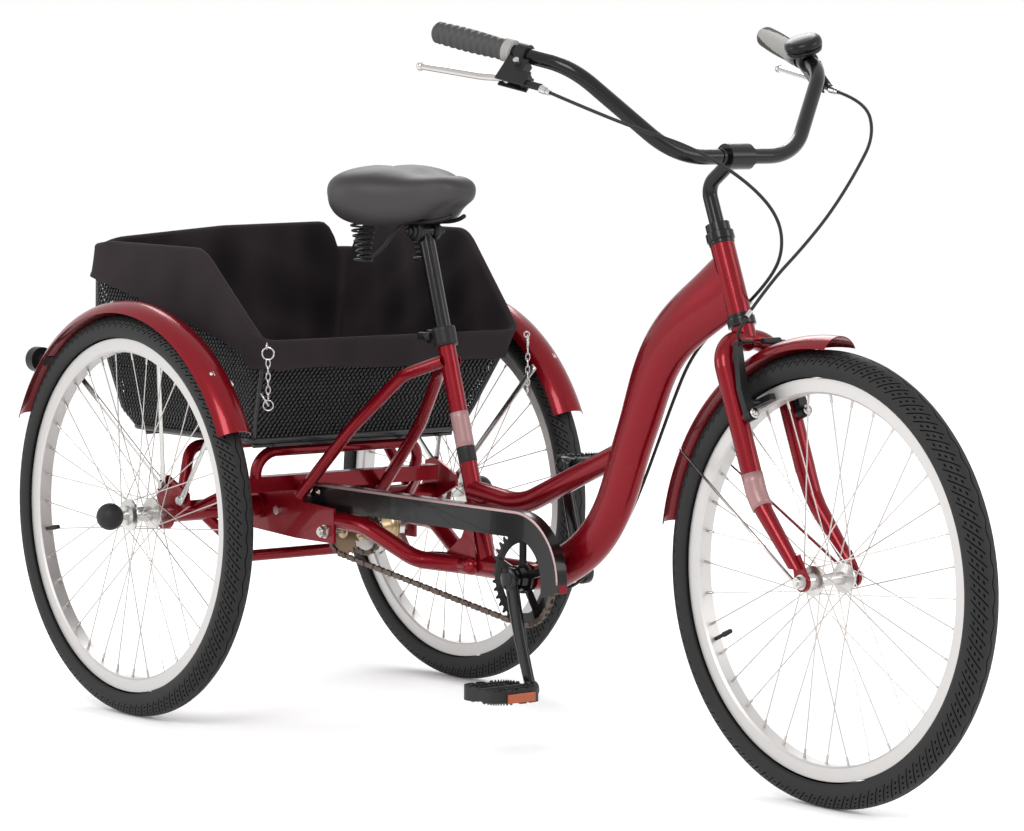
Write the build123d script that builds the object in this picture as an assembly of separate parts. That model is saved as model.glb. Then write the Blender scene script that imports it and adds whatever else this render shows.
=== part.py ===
from build123d import *
import math
import os

# Adult tricycle with a rear basket, in millimetres.
# +X forward, +Y left, +Z up. The origin is on the ground, midway along the length, on the centre plane.

# ---------------------------------------------------------------- driving dimensions
WHEELBASE = 1284.0          # front axle to rear axle
TRACK = 671.0               # between the centre planes of the rear wheels

TYRE_OUTER = 326.0          # outer radius of a tyre
TYRE_WIDTH = 47.0
TYRE_WALL = 4.0
RIM_OUTER = 286.0           # radius over the rim's flanges
RIM_DEPTH = 22.0
RIM_WIDTH = 27.0
RIM_WALL = 3.0
BEAD_DEPTH = 8.0            # how far a tyre bead reaches into the rim
SPOKE_COUNT = 36
SPOKE_RADIUS = 1.0
SPOKE_CROSS = 60.0          # degrees between a spoke's hub hole and its rim hole
NIPPLE_RADIUS = 2.0
NIPPLE_LENGTH = 13.0

RUN_GAP = 0.05              # radial clearance of a running fit
FACE_GAP = 0.5              # end clearance between parts that turn on each other

HEAD_ANGLE = 68.55          # head tube, degrees above the horizontal
HEAD_LENGTH = 120.3
HEAD_RADIUS = 18.0
HEAD_BORE = 15.0
HEAD_BOTTOM_BEHIND = 191.0  # from the front axle back to the head tube's lower end
HEAD_BOTTOM_HEIGHT = 686.0
CUP_RADIUS = 20.5
CUP_HEIGHT = 11.0
STEERER_RADIUS = 12.7

CRANK_AHEAD = 653.0         # from the rear axle forward to the crank axle
CRANK_HEIGHT = 268.0
SHELL_RADIUS = 20.0
SHELL_WIDTH = 70.0
SPINDLE_RADIUS = 8.5
CRANK_LENGTH = 171.0
CRANK_ANGLE = -73.0         # right arm, degrees above the forward direction
CRANK_OFFSET = 72.0         # from the centre plane to a crank arm's middle
CRANK_THICK = 14.0
RING_TEETH = 36
RING_OFFSET = 48.0          # centre plane to the drive chain's plane
PITCH = 12.7

SEAT_TUBE_ANGLE = 72.4
SEAT_TUBE_FOOT = 504.0      # from the rear axle forward to the seat tube's foot on the keel tube
SEAT_TUBE_RADIUS = 14.3
POST_RADIUS = 12.7
SEAT_TUBE_TOP = 636.0
POST_TOP = 774.0
POST_INSERT = 150.0         # length of seat post inside the seat tube
MAIN_WIDE = 51.0            # main tube, side to side
MAIN_WIDE_TOP = 36.0        # the same at the head tube
MAIN_TALL_TOP = 97.0        # main tube, across its bend plane, at the head tube
MAIN_TALL_MIDDLE = 69.0
MAIN_TALL_FOOT = 60.0
MAIN_WALL = 2.2
BRACE_RADIUS = 17.0
KEEL_RADIUS = 18.0
STAY_RADIUS = 14.0
TUBE_WALL = 2.0

HUB_AHEAD = 185.0           # from the rear axle forward to the intermediate hub
HUB_HEIGHT = 299.0
HUB_TEETH = 20
AXLE_TEETH = 20
AXLE_CHAIN_OFFSET = 4.0     # centre plane to the axle chain's plane
HUB_AXLE_RADIUS = 4.8
CARRIAGE_HALF = 82.0        # centre plane to a carriage plate
PLATE = 5.0
AXLE_RADIUS = 7.5
AXLE_TUBE_RADIUS = 17.0
BEARING_PLATE = 270.0       # centre plane to a bearing plate
HUB_CAP_OFFSET = 378.0
HUB_CAP_RADIUS = 22.0

FENDER_CROWN = 347.0        # radius over the crown of a fender
FENDER_EDGE = 328.0         # radius of a fender's side edges
FENDER_WIDTH = 62.0
FENDER_SHEET = 1.5
REAR_FENDER_FROM = 27.0     # degrees above the forward direction
REAR_FENDER_TO = 155.0
FRONT_FENDER_FROM = 87.0
FRONT_FENDER_TO = 171.0

FORK_HALF = 52.0            # centre plane to a fork leg's axis
FORK_RADIUS = 15.0
FORK_TIP_RADIUS = 9.5
OVER_LOCKNUTS = 94.0        # width of the front hub between the fork ends
FRONT_AXLE_RADIUS = 4.7

BAR_RADIUS = 11.1
BAR_CLAMP_RADIUS = 12.7
GRIP_RADIUS = 16.0
GRIP_LENGTH = 136.0
CABLE_RADIUS = 2.5

BASKET_FLOOR = 449.0
BASKET_RIM = 627.0
LINER_TOP = 774.0
TRAY_CORNER = 24.0          # plan radius of the basket's corners
WICKER = 6.0
LINER = 4.0

SADDLE_TOP = 892.0
CLAMP_HEIGHT = 789.0

# ---------------------------------------------------------------- places
REAR = -WHEELBASE / 2
FRONT = WHEELBASE / 2
AXLE_Z = TYRE_OUTER
HALF_TRACK = TRACK / 2
CRANK_X = REAR + CRANK_AHEAD
HUB_X = REAR + HUB_AHEAD
PARTS = {}


def polar(radius, degrees):
    """Forward and upward parts of a length at an angle above the forward direction."""
    return radius * math.cos(math.radians(degrees)), radius * math.sin(math.radians(degrees))


HEAD_UP = Vector(-math.cos(math.radians(HEAD_ANGLE)), 0, math.sin(math.radians(HEAD_ANGLE)))
HEAD_AHEAD = Vector(HEAD_UP.Z, 0, -HEAD_UP.X)
HEAD_BOTTOM = Vector(FRONT - HEAD_BOTTOM_BEHIND, 0, HEAD_BOTTOM_HEIGHT)
HEAD_TOP = HEAD_BOTTOM + HEAD_UP * HEAD_LENGTH


def on_head(along, ahead=0.0, side=0.0):
    """A point of the steering: along its axis from the head tube's lower end, ahead of it and to the left."""
    return HEAD_BOTTOM + HEAD_UP * along + HEAD_AHEAD * ahead + Vector(0, side, 0)


def on_seat_tube(height):
    """The point of the seat tube's axis at a height above the ground."""
    lean = (height - CRANK_HEIGHT) / math.tan(math.radians(SEAT_TUBE_ANGLE))
    return Vector(REAR + SEAT_TUBE_FOOT - lean, 0, height)


# ---------------------------------------------------------------- shape helpers
def keep(name, *solids):
    """Store a sub-part under its node name."""
    pieces = [solid for shape in solids for solid in shape.solids()]
    PARTS[name] = pieces[0] if len(pieces) == 1 else Compound(pieces)


def rod(start, end, radius, bore=0.0):
    """A round bar between two points, with a bore if one is given."""
    start, end = Vector(start), Vector(end)
    section = Circle(radius) - Circle(bore) if bore else Circle(radius)
    plane = Plane(origin=start, z_dir=end - start)
    return extrude(plane * section, (end - start).length)


def across(x, z, radius, low, high, bore=0.0):
    """A round bar along Y at a point of the side view."""
    return rod((x, low, z), (x, high, z), radius, bore)


def swept(points, radii, radius, wall=0.0):
    """A bent tube through points, with one bend radius for each corner."""
    path = FilletPolyline(*points, radius=radii) if radii else Line(*points)
    section = Circle(radius) - Circle(radius - wall) if wall else Circle(radius)
    return sweep(Plane(origin=path @ 0, z_dir=path % 0) * section, path=path)


def side_plate(outline, low, high):
    """A flat plate in the side view, from (x, z) corners, between two Y values."""
    edge = Polyline(*[(x, low, z) for x, z in outline], close=True)
    return extrude(make_face(edge), amount=high - low, dir=(0, 1, 0))


def block(centre, size, x_dir=(1, 0, 0), z_dir=(0, 0, 1)):
    """A box about a centre, turned to two directions."""
    return Plane(origin=centre, x_dir=x_dir, z_dir=z_dir) * Box(*size)


def other_side(shape):
    """The same shape across the centre plane."""
    return mirror(shape, about=Plane.XZ)


def turned(outline, centre, degrees=360.0, start=0.0):
    """A ring about a wheel's axis from (side, radius) corners or a ready face."""
    plane = Plane(origin=centre, x_dir=(0, 1, 0), z_dir=(1, 0, 0))
    face = outline if isinstance(outline, (Sketch, Face)) else make_face(Polyline(*outline, close=True))
    axis = Axis(centre, (0, -1, 0))
    placed = (plane * face).rotate(axis, start - 90.0)
    return revolve(placed, axis=axis, revolution_arc=degrees)


# ---------------------------------------------------------------- wheels
def tyre(centre):
    """A hollow tyre whose beads sit inside the rim's flanges."""
    half = TYRE_WIDTH / 2
    middle = TYRE_OUTER - half
    inside = RIM_WIDTH / 2 - RIM_WALL
    carcass = Pos(0, middle) * Circle(half) - Pos(0, RIM_OUTER - half) * Rectangle(TYRE_WIDTH, TYRE_WIDTH)
    bead = Pos(0, RIM_OUTER) * Rectangle(2 * inside, 2 * BEAD_DEPTH)
    hollow = Pos(0, middle) * Circle(half - TYRE_WALL)
    mouth = Pos(0, RIM_OUTER - half / 2) * Rectangle(2 * (inside - TYRE_WALL), 2 * half)
    return turned((carcass + bead) - hollow - mouth, centre)


def rim(centre):
    """A channel-shaped rim, open to the tyre."""
    half = RIM_WIDTH / 2
    inner = RIM_OUTER - RIM_DEPTH
    channel = [(-half, RIM_OUTER), (-half, inner + RIM_WALL), (-half + RIM_WALL, inner),
               (half - RIM_WALL, inner), (half, inner + RIM_WALL), (half, RIM_OUTER),
               (half - RIM_WALL, RIM_OUTER), (half - RIM_WALL, inner + RIM_WALL),
               (-half + RIM_WALL, inner + RIM_WALL), (-half + RIM_WALL, RIM_OUTER)]
    return turned(channel, centre)


def hub(centre, flanges, flange_radius, ends, barrel, bore):
    """A wheel hub: two flanges on a barrel, with wider ends."""
    low, high = ends
    outline = [(low, bore), (low, barrel + 2), (flanges[0] - 3, barrel + 4), (flanges[0] - 1.5, flange_radius),
               (flanges[0] + 1.5, flange_radius), (flanges[0] + 4, barrel), (flanges[1] - 4, barrel),
               (flanges[1] - 1.5, flange_radius), (flanges[1] + 1.5, flange_radius),
               (flanges[1] + 3, barrel + 4), (high, barrel + 2), (high, bore)]
    return turned(outline, centre)


def spokes(centre, flanges, flange_radius):
    """Crossed spokes with nipples; every second one goes to the left flange."""
    inner = RIM_OUTER - RIM_DEPTH
    step = 360.0 / SPOKE_COUNT
    made = []
    for number in range(SPOKE_COUNT):
        side = flanges[number % 2]
        lean = SPOKE_CROSS if (number // 2) % 2 else -SPOKE_CROSS
        x, z = polar(flange_radius - 2.5, number * step + lean)
        foot = centre + Vector(x, side, z)
        x, z = polar(inner, number * step)
        end = centre + Vector(x, 0, z)
        inward = (foot - end).normalized()
        wire = rod(foot, end, SPOKE_RADIUS)
        made.append(wire + rod(end, end + inward * NIPPLE_LENGTH, NIPPLE_RADIUS))
    return made


def wheel(name, centre, flanges, flange_radius, ends, barrel, bore):
    """The tyre, rim, hub and spokes of one wheel."""
    keep(name + "_tyre", tyre(centre))
    keep(name + "_rim", rim(centre))
    keep(name + "_hub", hub(centre, flanges, flange_radius, ends, barrel, bore))
    keep(name + "_spokes", *spokes(centre, flanges, flange_radius))


FRONT_CENTRE = Vector(FRONT, 0, AXLE_Z)
half_locknut = OVER_LOCKNUTS / 2
wheel("front", FRONT_CENTRE, (-30.0, 30.0), 22.0, (FACE_GAP - half_locknut, half_locknut - FACE_GAP), 9.0,
      FRONT_AXLE_RADIUS + RUN_GAP)

REAR_FLANGES = (-6.0, 38.0)     # outboard and inboard flange, from the wheel's centre plane
REAR_HUB_ENDS = (-14.0, 46.0)
for name, side in (("right", -1), ("left", 1)):
    centre = Vector(REAR, side * HALF_TRACK, AXLE_Z)
    flanges = [-side * value for value in REAR_FLANGES]
    ends = [-side * value for value in REAR_HUB_ENDS]
    bore = AXLE_RADIUS + (RUN_GAP if name == "right" else 0.0)
    wheel(name, centre, sorted(flanges), 26.0, sorted(ends), 12.0, bore)


# ---------------------------------------------------------------- sprockets and chains
def pitch_radius(teeth):
    """Radius of the circle through a sprocket's chain pins."""
    return PITCH / 2 / math.sin(math.pi / teeth)


TOOTH_TIP = 3.4             # tooth height over the pitch circle
TOOTH_ROOT = 4.2
SPROCKET_THICK = 2.2
CHAIN_INNER = 3.2           # width inside the chain's side plates
CHAIN_PLATE = 1.3
CHAIN_HALF = 4.2            # half the height of a side plate
ROLLER_RADIUS = 3.8


def sprocket(x, z, y, teeth, bore):
    """A toothed disc about an axle along Y."""
    base = pitch_radius(teeth)
    step = math.pi / teeth
    corners = []
    for tooth in range(teeth):
        middle = 2 * step * tooth
        for shift, radius in ((-0.62, base - TOOTH_ROOT), (-0.22, base + TOOTH_TIP),
                              (0.22, base + TOOTH_TIP), (0.62, base - TOOTH_ROOT)):
            angle = middle + shift * step
            corners.append((x + radius * math.cos(angle), z + radius * math.sin(angle)))
    half = SPROCKET_THICK / 2
    disc = side_plate(corners, y - half, y + half)
    return disc - across(x, z, bore, y - 2 * half, y + 2 * half)


def chain(x1, z1, r1, x2, z2, r2, y, rollers):
    """A chain loop: two side plates all round, and rollers on the straight runs clear of the teeth."""
    gap = math.hypot(x2 - x1, z2 - z1)
    heading = math.degrees(math.atan2(z2 - z1, x2 - x1))
    opening = math.degrees(math.asin((r1 - r2) / gap))
    reach = CHAIN_HALF

    def loop(offset):
        top1 = polar(r1 + offset, heading + 90 - opening)
        top2 = polar(r2 + offset, heading + 90 - opening)
        low1 = polar(r1 + offset, heading - 90 + opening)
        low2 = polar(r2 + offset, heading - 90 + opening)
        back = polar(r1 + offset, heading + 180)
        nose = polar(r2 + offset, heading)
        upper = Line((x1 + top1[0], z1 + top1[1]), (x2 + top2[0], z2 + top2[1]))
        lower = Line((x2 + low2[0], z2 + low2[1]), (x1 + low1[0], z1 + low1[1]))
        round_nose = ThreePointArc(upper @ 1, (x2 + nose[0], z2 + nose[1]), lower @ 0)
        round_back = ThreePointArc(lower @ 1, (x1 + back[0], z1 + back[1]), upper @ 0)
        return make_face([upper, round_nose, lower, round_back])

    band = loop(reach) - loop(-reach)
    upright = Plane(origin=(0, 0, 0), x_dir=(1, 0, 0), z_dir=(0, -1, 0))
    solids = []
    for near in (-CHAIN_INNER / 2 - CHAIN_PLATE, CHAIN_INNER / 2):
        placed = (upright * band).moved(Location((0, y + near + CHAIN_PLATE, 0)))
        solids.append(extrude(placed, CHAIN_PLATE, dir=(0, -1, 0)))
    joined = solids[0] + solids[1]
    for turn in (90 - opening, -90 + opening):
        a = polar(r1, heading + turn)
        b = polar(r2, heading + turn)
        for number in range(1, rollers + 1):
            share = number / (rollers + 1)
            x = x1 + a[0] + (x2 + b[0] - x1 - a[0]) * share
            z = z1 + a[1] + (z2 + b[1] - z1 - a[1]) * share
            joined += across(x, z, ROLLER_RADIUS, y - CHAIN_INNER / 2, y + CHAIN_INNER / 2)
    return joined


ring_pitch = pitch_radius(RING_TEETH)
hub_pitch = pitch_radius(HUB_TEETH)
axle_pitch = pitch_radius(AXLE_TEETH)
keep("chains", chain(HUB_X, HUB_HEIGHT, hub_pitch, CRANK_X, CRANK_HEIGHT, ring_pitch, -RING_OFFSET, 9),
     chain(REAR, AXLE_Z, axle_pitch, HUB_X, HUB_HEIGHT, hub_pitch, -AXLE_CHAIN_OFFSET, 3))

# ---------------------------------------------------------------- frame tubes
HEAD_JOINT = HEAD_BOTTOM + HEAD_UP * (HEAD_LENGTH * 0.47)
CRANK_CENTRE = Vector(CRANK_X, 0, CRANK_HEIGHT)
head_envelope = rod(HEAD_BOTTOM, HEAD_TOP, HEAD_RADIUS)
shell_envelope = across(CRANK_X, CRANK_HEIGHT, SHELL_RADIUS, -SHELL_WIDTH / 2, SHELL_WIDTH / 2)


def headset_cup(foot, up):
    """A bearing cup pressed against one end of the head tube."""
    lip = rod(foot, foot + up * CUP_HEIGHT, CUP_RADIUS)
    return lip - rod(foot - up, foot + up * (CUP_HEIGHT + 1), STEERER_RADIUS + RUN_GAP)


keep("head_tube", rod(HEAD_BOTTOM, HEAD_TOP, HEAD_RADIUS, HEAD_BORE), headset_cup(HEAD_TOP, HEAD_UP),
     headset_cup(HEAD_BOTTOM, HEAD_UP * -1))

MAIN_CORNERS = ((0.640, 0.797), (0.323, 0.140))   # bends of the main tube, as shares of the way from crank to head


def main_tube_line():
    """Centre line of the main tube, from the head tube down and back to the crank axle."""
    span = HEAD_JOINT - CRANK_CENTRE
    corners = [CRANK_CENTRE + Vector(span.X * along, 0, span.Z * up) for along, up in MAIN_CORNERS]
    return FilletPolyline(HEAD_JOINT, *corners, CRANK_CENTRE, radius=[224, 236])


def main_tube_skin(line, inset):
    """Oval tube along the centre line, taller at the head tube."""
    sections = []
    stations = 13
    for number in range(stations):
        share = number / (stations - 1)
        if share < 0.5:
            tall = MAIN_TALL_TOP + (MAIN_TALL_MIDDLE - MAIN_TALL_TOP) * 2 * share
        else:
            tall = MAIN_TALL_MIDDLE + (MAIN_TALL_FOOT - MAIN_TALL_MIDDLE) * (2 * share - 1)
        wide = MAIN_WIDE_TOP + (MAIN_WIDE - MAIN_WIDE_TOP) * min(1.0, share * 5)
        plane = Plane(origin=line @ share, x_dir=(0, 1, 0), z_dir=line % share)
        sections.append(plane * Ellipse(wide / 2 - inset, tall / 2 - inset))
    return loft(sections)


main_line = main_tube_line()
main_outer = main_tube_skin(main_line, 0.0)
main_inner = main_tube_skin(main_line, MAIN_WALL)
keep("main_tube", main_outer - head_envelope - shell_envelope - main_inner)

seat_foot = on_seat_tube(CRANK_HEIGHT)
seat_top = on_seat_tube(SEAT_TUBE_TOP)
KEEL_BACK = Vector(REAR + 452, 0, CRANK_HEIGHT)
keel_envelope = rod(KEEL_BACK, CRANK_CENTRE, KEEL_RADIUS)
keel = rod(KEEL_BACK, CRANK_CENTRE, KEEL_RADIUS, KEEL_RADIUS - TUBE_WALL)
shell = across(CRANK_X, CRANK_HEIGHT, SHELL_RADIUS, -SHELL_WIDTH / 2, SHELL_WIDTH / 2,
               SPINDLE_RADIUS + RUN_GAP)
keep("keel_tube", keel - shell_envelope - main_outer, shell)

seat_envelope = rod(seat_foot, seat_top, SEAT_TUBE_RADIUS)
seat_tube = rod(seat_foot, seat_top, SEAT_TUBE_RADIUS, POST_RADIUS + RUN_GAP)
keep("seat_tube", seat_tube - keel_envelope)

brace_points = (on_seat_tube(384), (REAR + 589, 0, 371), (REAR + 830, 0, 472))
brace_envelope = swept(brace_points, [150], BRACE_RADIUS)
brace = swept(brace_points, [150], BRACE_RADIUS, TUBE_WALL)
keep("brace_tube", brace - seat_envelope - main_outer)

collar_low, collar_high = on_seat_tube(SEAT_TUBE_TOP - 26), on_seat_tube(SEAT_TUBE_TOP - 2)
seat_axis = (seat_top - seat_foot).normalized()
collar = rod(collar_low, collar_high, SEAT_TUBE_RADIUS + 4)
ear_centre = (collar_low + collar_high) * 0.5 - Vector(SEAT_TUBE_RADIUS + 9, 0, 0)
collar += block(ear_centre, (16, 20, 20))
collar = collar - rod(seat_foot, seat_top, SEAT_TUBE_RADIUS)
collar += rod(ear_centre + Vector(-2, -20, 0), ear_centre + Vector(-2, 20, 0), 3.5)

# ---------------------------------------------------------------- stays
STAY_SIDE = CARRIAGE_HALF - 12
PLATE_FRONT = REAR + 208
stay_points = ((PLATE_FRONT, -STAY_SIDE, 317), (REAR + 275, -STAY_SIDE, 315), (REAR + 378, -46, 270),
               (REAR + 490, -20, CRANK_HEIGHT))


def chain_stay():
    """Right chain stay: from the carriage plate it dips and closes in on the keel tube."""
    return swept(stay_points, [95, 110], STAY_RADIUS, TUBE_WALL) - keel_envelope


right_stay = chain_stay()
GUSSET_CORNERS = ((-109, -6), (-48, 0), (-4, 0), (-17, 62), (-30, 68), (-42, 44))  # from the seat tube's foot
gusset_outline = [(REAR + SEAT_TUBE_FOOT + ahead, CRANK_HEIGHT + above) for ahead, above in GUSSET_CORNERS]
gusset = side_plate(gusset_outline, -20, -17)
gusset = gusset - seat_envelope - keel_envelope - swept(stay_points, [95, 110], STAY_RADIUS)
keep("chain_stays", right_stay, other_side(right_stay), gusset, other_side(gusset))

seat_stay_points = ((REAR + 404, -12, 586), (REAR + 330, -36, 560), (REAR + 236, -70, 470),
                    (REAR + 112, -CARRIAGE_HALF - 1, 352))
seat_stay_solid = swept(seat_stay_points, [70, 220], 10.0)
seat_stay = swept(seat_stay_points, [70, 220], 10.0, TUBE_WALL) - seat_envelope

# ---------------------------------------------------------------- rear carriage
axle_hole = across(REAR, AXLE_Z, AXLE_RADIUS + RUN_GAP, -BEARING_PLATE - 20, BEARING_PLATE + 20)


def axle_tube():
    """Right half of the axle housing, with a bearing at each end."""
    inner, outer = CARRIAGE_HALF + PLATE / 2, BEARING_PLATE
    tube = across(REAR, AXLE_Z, AXLE_TUBE_RADIUS, -outer, -inner, AXLE_TUBE_RADIUS - 3)
    for near in (-outer, -inner - 12):
        tube += across(REAR, AXLE_Z, AXLE_TUBE_RADIUS, near, near + 12)
    tube += across(REAR, AXLE_Z, AXLE_TUBE_RADIUS + 4, -inner - 8, -inner)
    return tube - axle_hole



tongue = ((REAR - 22, AXLE_Z), (REAR - 14, 380), (REAR + 10, 388), (REAR + 70, 362), (REAR + 72, 342),
          (REAR + 22, 318))
bearing_plate = side_plate(tongue, -BEARING_PLATE - PLATE, -BEARING_PLATE)
bearing_plate += across(REAR, AXLE_Z, 28, -BEARING_PLATE - PLATE, -BEARING_PLATE)
bearing_plate = bearing_plate - axle_hole
keep("axle_housings", axle_tube(), other_side(axle_tube()), bearing_plate, other_side(bearing_plate))

plate_low, plate_high = -CARRIAGE_HALF - PLATE / 2, -CARRIAGE_HALF + PLATE / 2
plate_outline = ((REAR - 75, 290), (REAR + 100, 281), (PLATE_FRONT, 281), (PLATE_FRONT, 338), (REAR + 122, 342),
                 (REAR + 122, 366), (REAR - 75, 362))
carriage_plate = side_plate(plate_outline, plate_low, plate_high)
hub_axle_hole = across(HUB_X, HUB_HEIGHT, HUB_AXLE_RADIUS, -CARRIAGE_HALF - 20, CARRIAGE_HALF + 20)
carriage_plate = carriage_plate - axle_hole - hub_axle_hole
bridge_size = 2 * (CARRIAGE_HALF - PLATE / 2)
bridge = Pos(REAR - 62, 0, 326) * Box(26, bridge_size, 72) - Pos(REAR - 52, 0, 326) * Box(26, bridge_size, 64)
CROSS_HEIGHT = 373.0
CROSS_SIZE = 25.0
CROSS_WIDTH = 410.0
cross_envelope = Pos(REAR + 95, 0, CROSS_HEIGHT) * Box(CROSS_SIZE, CROSS_WIDTH, CROSS_SIZE)
inside = CROSS_SIZE - 2 * TUBE_WALL
cross_bar = cross_envelope - Pos(REAR + 95, 0, CROSS_HEIGHT) * Box(inside, CROSS_WIDTH, inside)
carriage_plate = carriage_plate - cross_envelope - swept(stay_points, [95, 110], STAY_RADIUS)
keep("carriage", carriage_plate, other_side(carriage_plate), bridge, cross_bar)
seat_stay = seat_stay - cross_envelope - carriage_plate
keep("seat_stays", seat_stay, other_side(seat_stay))

HOOP_RADIUS = 9.5
HOOP_TOP = 428.0
front_hoop_points = ((REAR + 95, -160, CROSS_HEIGHT), (REAR + 112, -168, HOOP_TOP),
                     (REAR + 112, 168, HOOP_TOP), (REAR + 95, 160, CROSS_HEIGHT))
rear_hoop_points = ((REAR - 8, -238, AXLE_Z), (REAR - 40, -196, HOOP_TOP), (REAR - 40, 196, HOOP_TOP),
                    (REAR - 8, 238, AXLE_Z))
low_hoop_points = ((REAR, -205, AXLE_Z), (REAR, -110, 243), (REAR, 110, 243), (REAR, 205, AXLE_Z))
axle_envelope = across(REAR, AXLE_Z, AXLE_TUBE_RADIUS, -BEARING_PLATE, BEARING_PLATE)


def hoop(points, bend):
    """A hoop tube across the carriage, coped to what it stands on."""
    return swept(points, [bend, bend], HOOP_RADIUS, TUBE_WALL) - axle_envelope - cross_envelope


diagonal = rod((REAR + 4, -222, AXLE_Z), (REAR + 90, -180, CROSS_HEIGHT), 8.5, 8.5 - TUBE_WALL)
diagonal = diagonal - axle_envelope - cross_envelope
keep("carriage_hoops", hoop(front_hoop_points, 34), hoop(rear_hoop_points, 34), hoop(low_hoop_points, 30),
     diagonal, other_side(diagonal))

# ---------------------------------------------------------------- intermediate hub
DRUM_RADIUS = 30.0
hub_shell = across(HUB_X, HUB_HEIGHT, 22, 12, 58) + across(HUB_X, HUB_HEIGHT, DRUM_RADIUS, 40, 54)
hub_shell += across(HUB_X, HUB_HEIGHT, 14, -RING_OFFSET - 4, 66)
hub_shell = hub_shell - across(HUB_X, HUB_HEIGHT, HUB_AXLE_RADIUS + RUN_GAP, -70, 70)
keep("intermediate_hub", hub_shell, sprocket(HUB_X, HUB_HEIGHT, -RING_OFFSET, HUB_TEETH, 14),
     sprocket(HUB_X, HUB_HEIGHT, -AXLE_CHAIN_OFFSET, HUB_TEETH, 14))


def hexagon(x, z, radius, low, high, bore=0.0):
    """A hexagonal nut about an axis along Y."""
    nut = extrude(Plane(origin=(x, low, z), z_dir=(0, 1, 0)) * RegularPolygon(radius, 6), high - low)
    return nut - across(x, z, bore, low - 1, high + 1) if bore else nut


def right_nuts(x, z, bore):
    """Washer and nut outside the right carriage plate, and a lock nut inside it."""
    outside = plate_low - 2
    nuts = across(x, z, 11, outside, plate_low, bore) + hexagon(x, z, 9, outside - 9, outside, bore)
    return nuts, hexagon(x, z, 8.5, plate_high, plate_high + 6, bore)


hub_axle = across(HUB_X, HUB_HEIGHT, HUB_AXLE_RADIUS, -CARRIAGE_HALF - 17, CARRIAGE_HALF + 17)
outer_nut, inner_nut = right_nuts(HUB_X, HUB_HEIGHT, HUB_AXLE_RADIUS)
bolt_x, bolt_z = REAR + 57, 323
bolt_head = hexagon(bolt_x, bolt_z, 8, plate_low - 8, plate_low)
fasteners = [hub_axle]
for piece in (outer_nut, inner_nut, bolt_head):
    fasteners += [piece, other_side(piece)]
STAY_BOLTS = ((REAR + 5, 372), (REAR + 57, 351))
for x, z in STAY_BOLTS:
    head = across(x, z, 6, -BEARING_PLATE - PLATE - 11, -BEARING_PLATE - PLATE - 6.4)
    head += across(x, z, 3.5, -BEARING_PLATE - PLATE - 7, -BEARING_PLATE - PLATE)
    fasteners += [head, other_side(head)]
BAND_GAP = 0.4
band_y = (42, 52)
band = across(HUB_X, HUB_HEIGHT, DRUM_RADIUS + 3, *band_y, DRUM_RADIUS + BAND_GAP)
BAND_LUG = ((24, -17), (33, -9), (50, -31), (40, -39))    # from the hub's centre
band += side_plate([(HUB_X + ahead, HUB_HEIGHT + above) for ahead, above in BAND_LUG], *band_y)
band = band - across(HUB_X, HUB_HEIGHT, DRUM_RADIUS + BAND_GAP, *band_y)
band += Pos(HUB_X - 8, (band_y[1] + CARRIAGE_HALF - PLATE / 2) / 2, HUB_HEIGHT + DRUM_RADIUS + 4) * Box(
    14, CARRIAGE_HALF - PLATE / 2 - band_y[1], 5) + Pos(HUB_X - 8, 47, HUB_HEIGHT + DRUM_RADIUS + 4) * Box(14, 10, 5)
STOP_FACE = Vector(REAR + 1088, 22, 711)
STOP_WAY = Vector(-36, -5, -31).normalized()
stop = rod(STOP_FACE + STOP_WAY * 0.5, STOP_FACE + STOP_WAY * 8, 5.5) - head_envelope
keep("frame_fittings", *fasteners, collar, band, stop)

# ---------------------------------------------------------------- rear axle
axle_end = HUB_CAP_OFFSET
shaft = across(REAR, AXLE_Z, AXLE_RADIUS, -axle_end, axle_end)
for side in (-1, 1):
    start = side * (BEARING_PLATE + PLATE + FACE_GAP)
    end = side * (HALF_TRACK - REAR_HUB_ENDS[1] - FACE_GAP)
    shaft += across(REAR, AXLE_Z, AXLE_RADIUS + 4, min(start, end), max(start, end))
carrier = across(REAR, AXLE_Z, 16, -AXLE_CHAIN_OFFSET - 12, -AXLE_CHAIN_OFFSET + 12, AXLE_RADIUS)
keep("rear_axle", shaft, sprocket(REAR, AXLE_Z, -AXLE_CHAIN_OFFSET, AXLE_TEETH, 16), carrier)


def hub_cap(side):
    """Rubber cap over one end of the axle."""
    ball = Pos(REAR, side * HUB_CAP_OFFSET, AXLE_Z) * Sphere(HUB_CAP_RADIUS)
    start = HALF_TRACK - REAR_HUB_ENDS[0] + FACE_GAP
    near = Pos(REAR, side * (start - 50), AXLE_Z) * Box(200, 100, 200)
    return ball - near - across(REAR, AXLE_Z, AXLE_RADIUS, -axle_end, axle_end)


keep("hub_caps", hub_cap(-1), hub_cap(1))


# ---------------------------------------------------------------- fenders
def fender(centre, start, end):
    """A domed fender round part of a wheel."""
    half = FENDER_WIDTH / 2
    outer = ThreePointArc((-half, FENDER_EDGE), (0, FENDER_CROWN), (half, FENDER_EDGE))
    inner = ThreePointArc((half - FENDER_SHEET, FENDER_EDGE), (0, FENDER_CROWN - FENDER_SHEET),
                          (-half + FENDER_SHEET, FENDER_EDGE))
    rims = [Line(outer @ 1, inner @ 0), Line(inner @ 1, outer @ 0)]
    return turned(make_face([outer, rims[0], inner, rims[1]]), centre, end - start, start)


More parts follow.
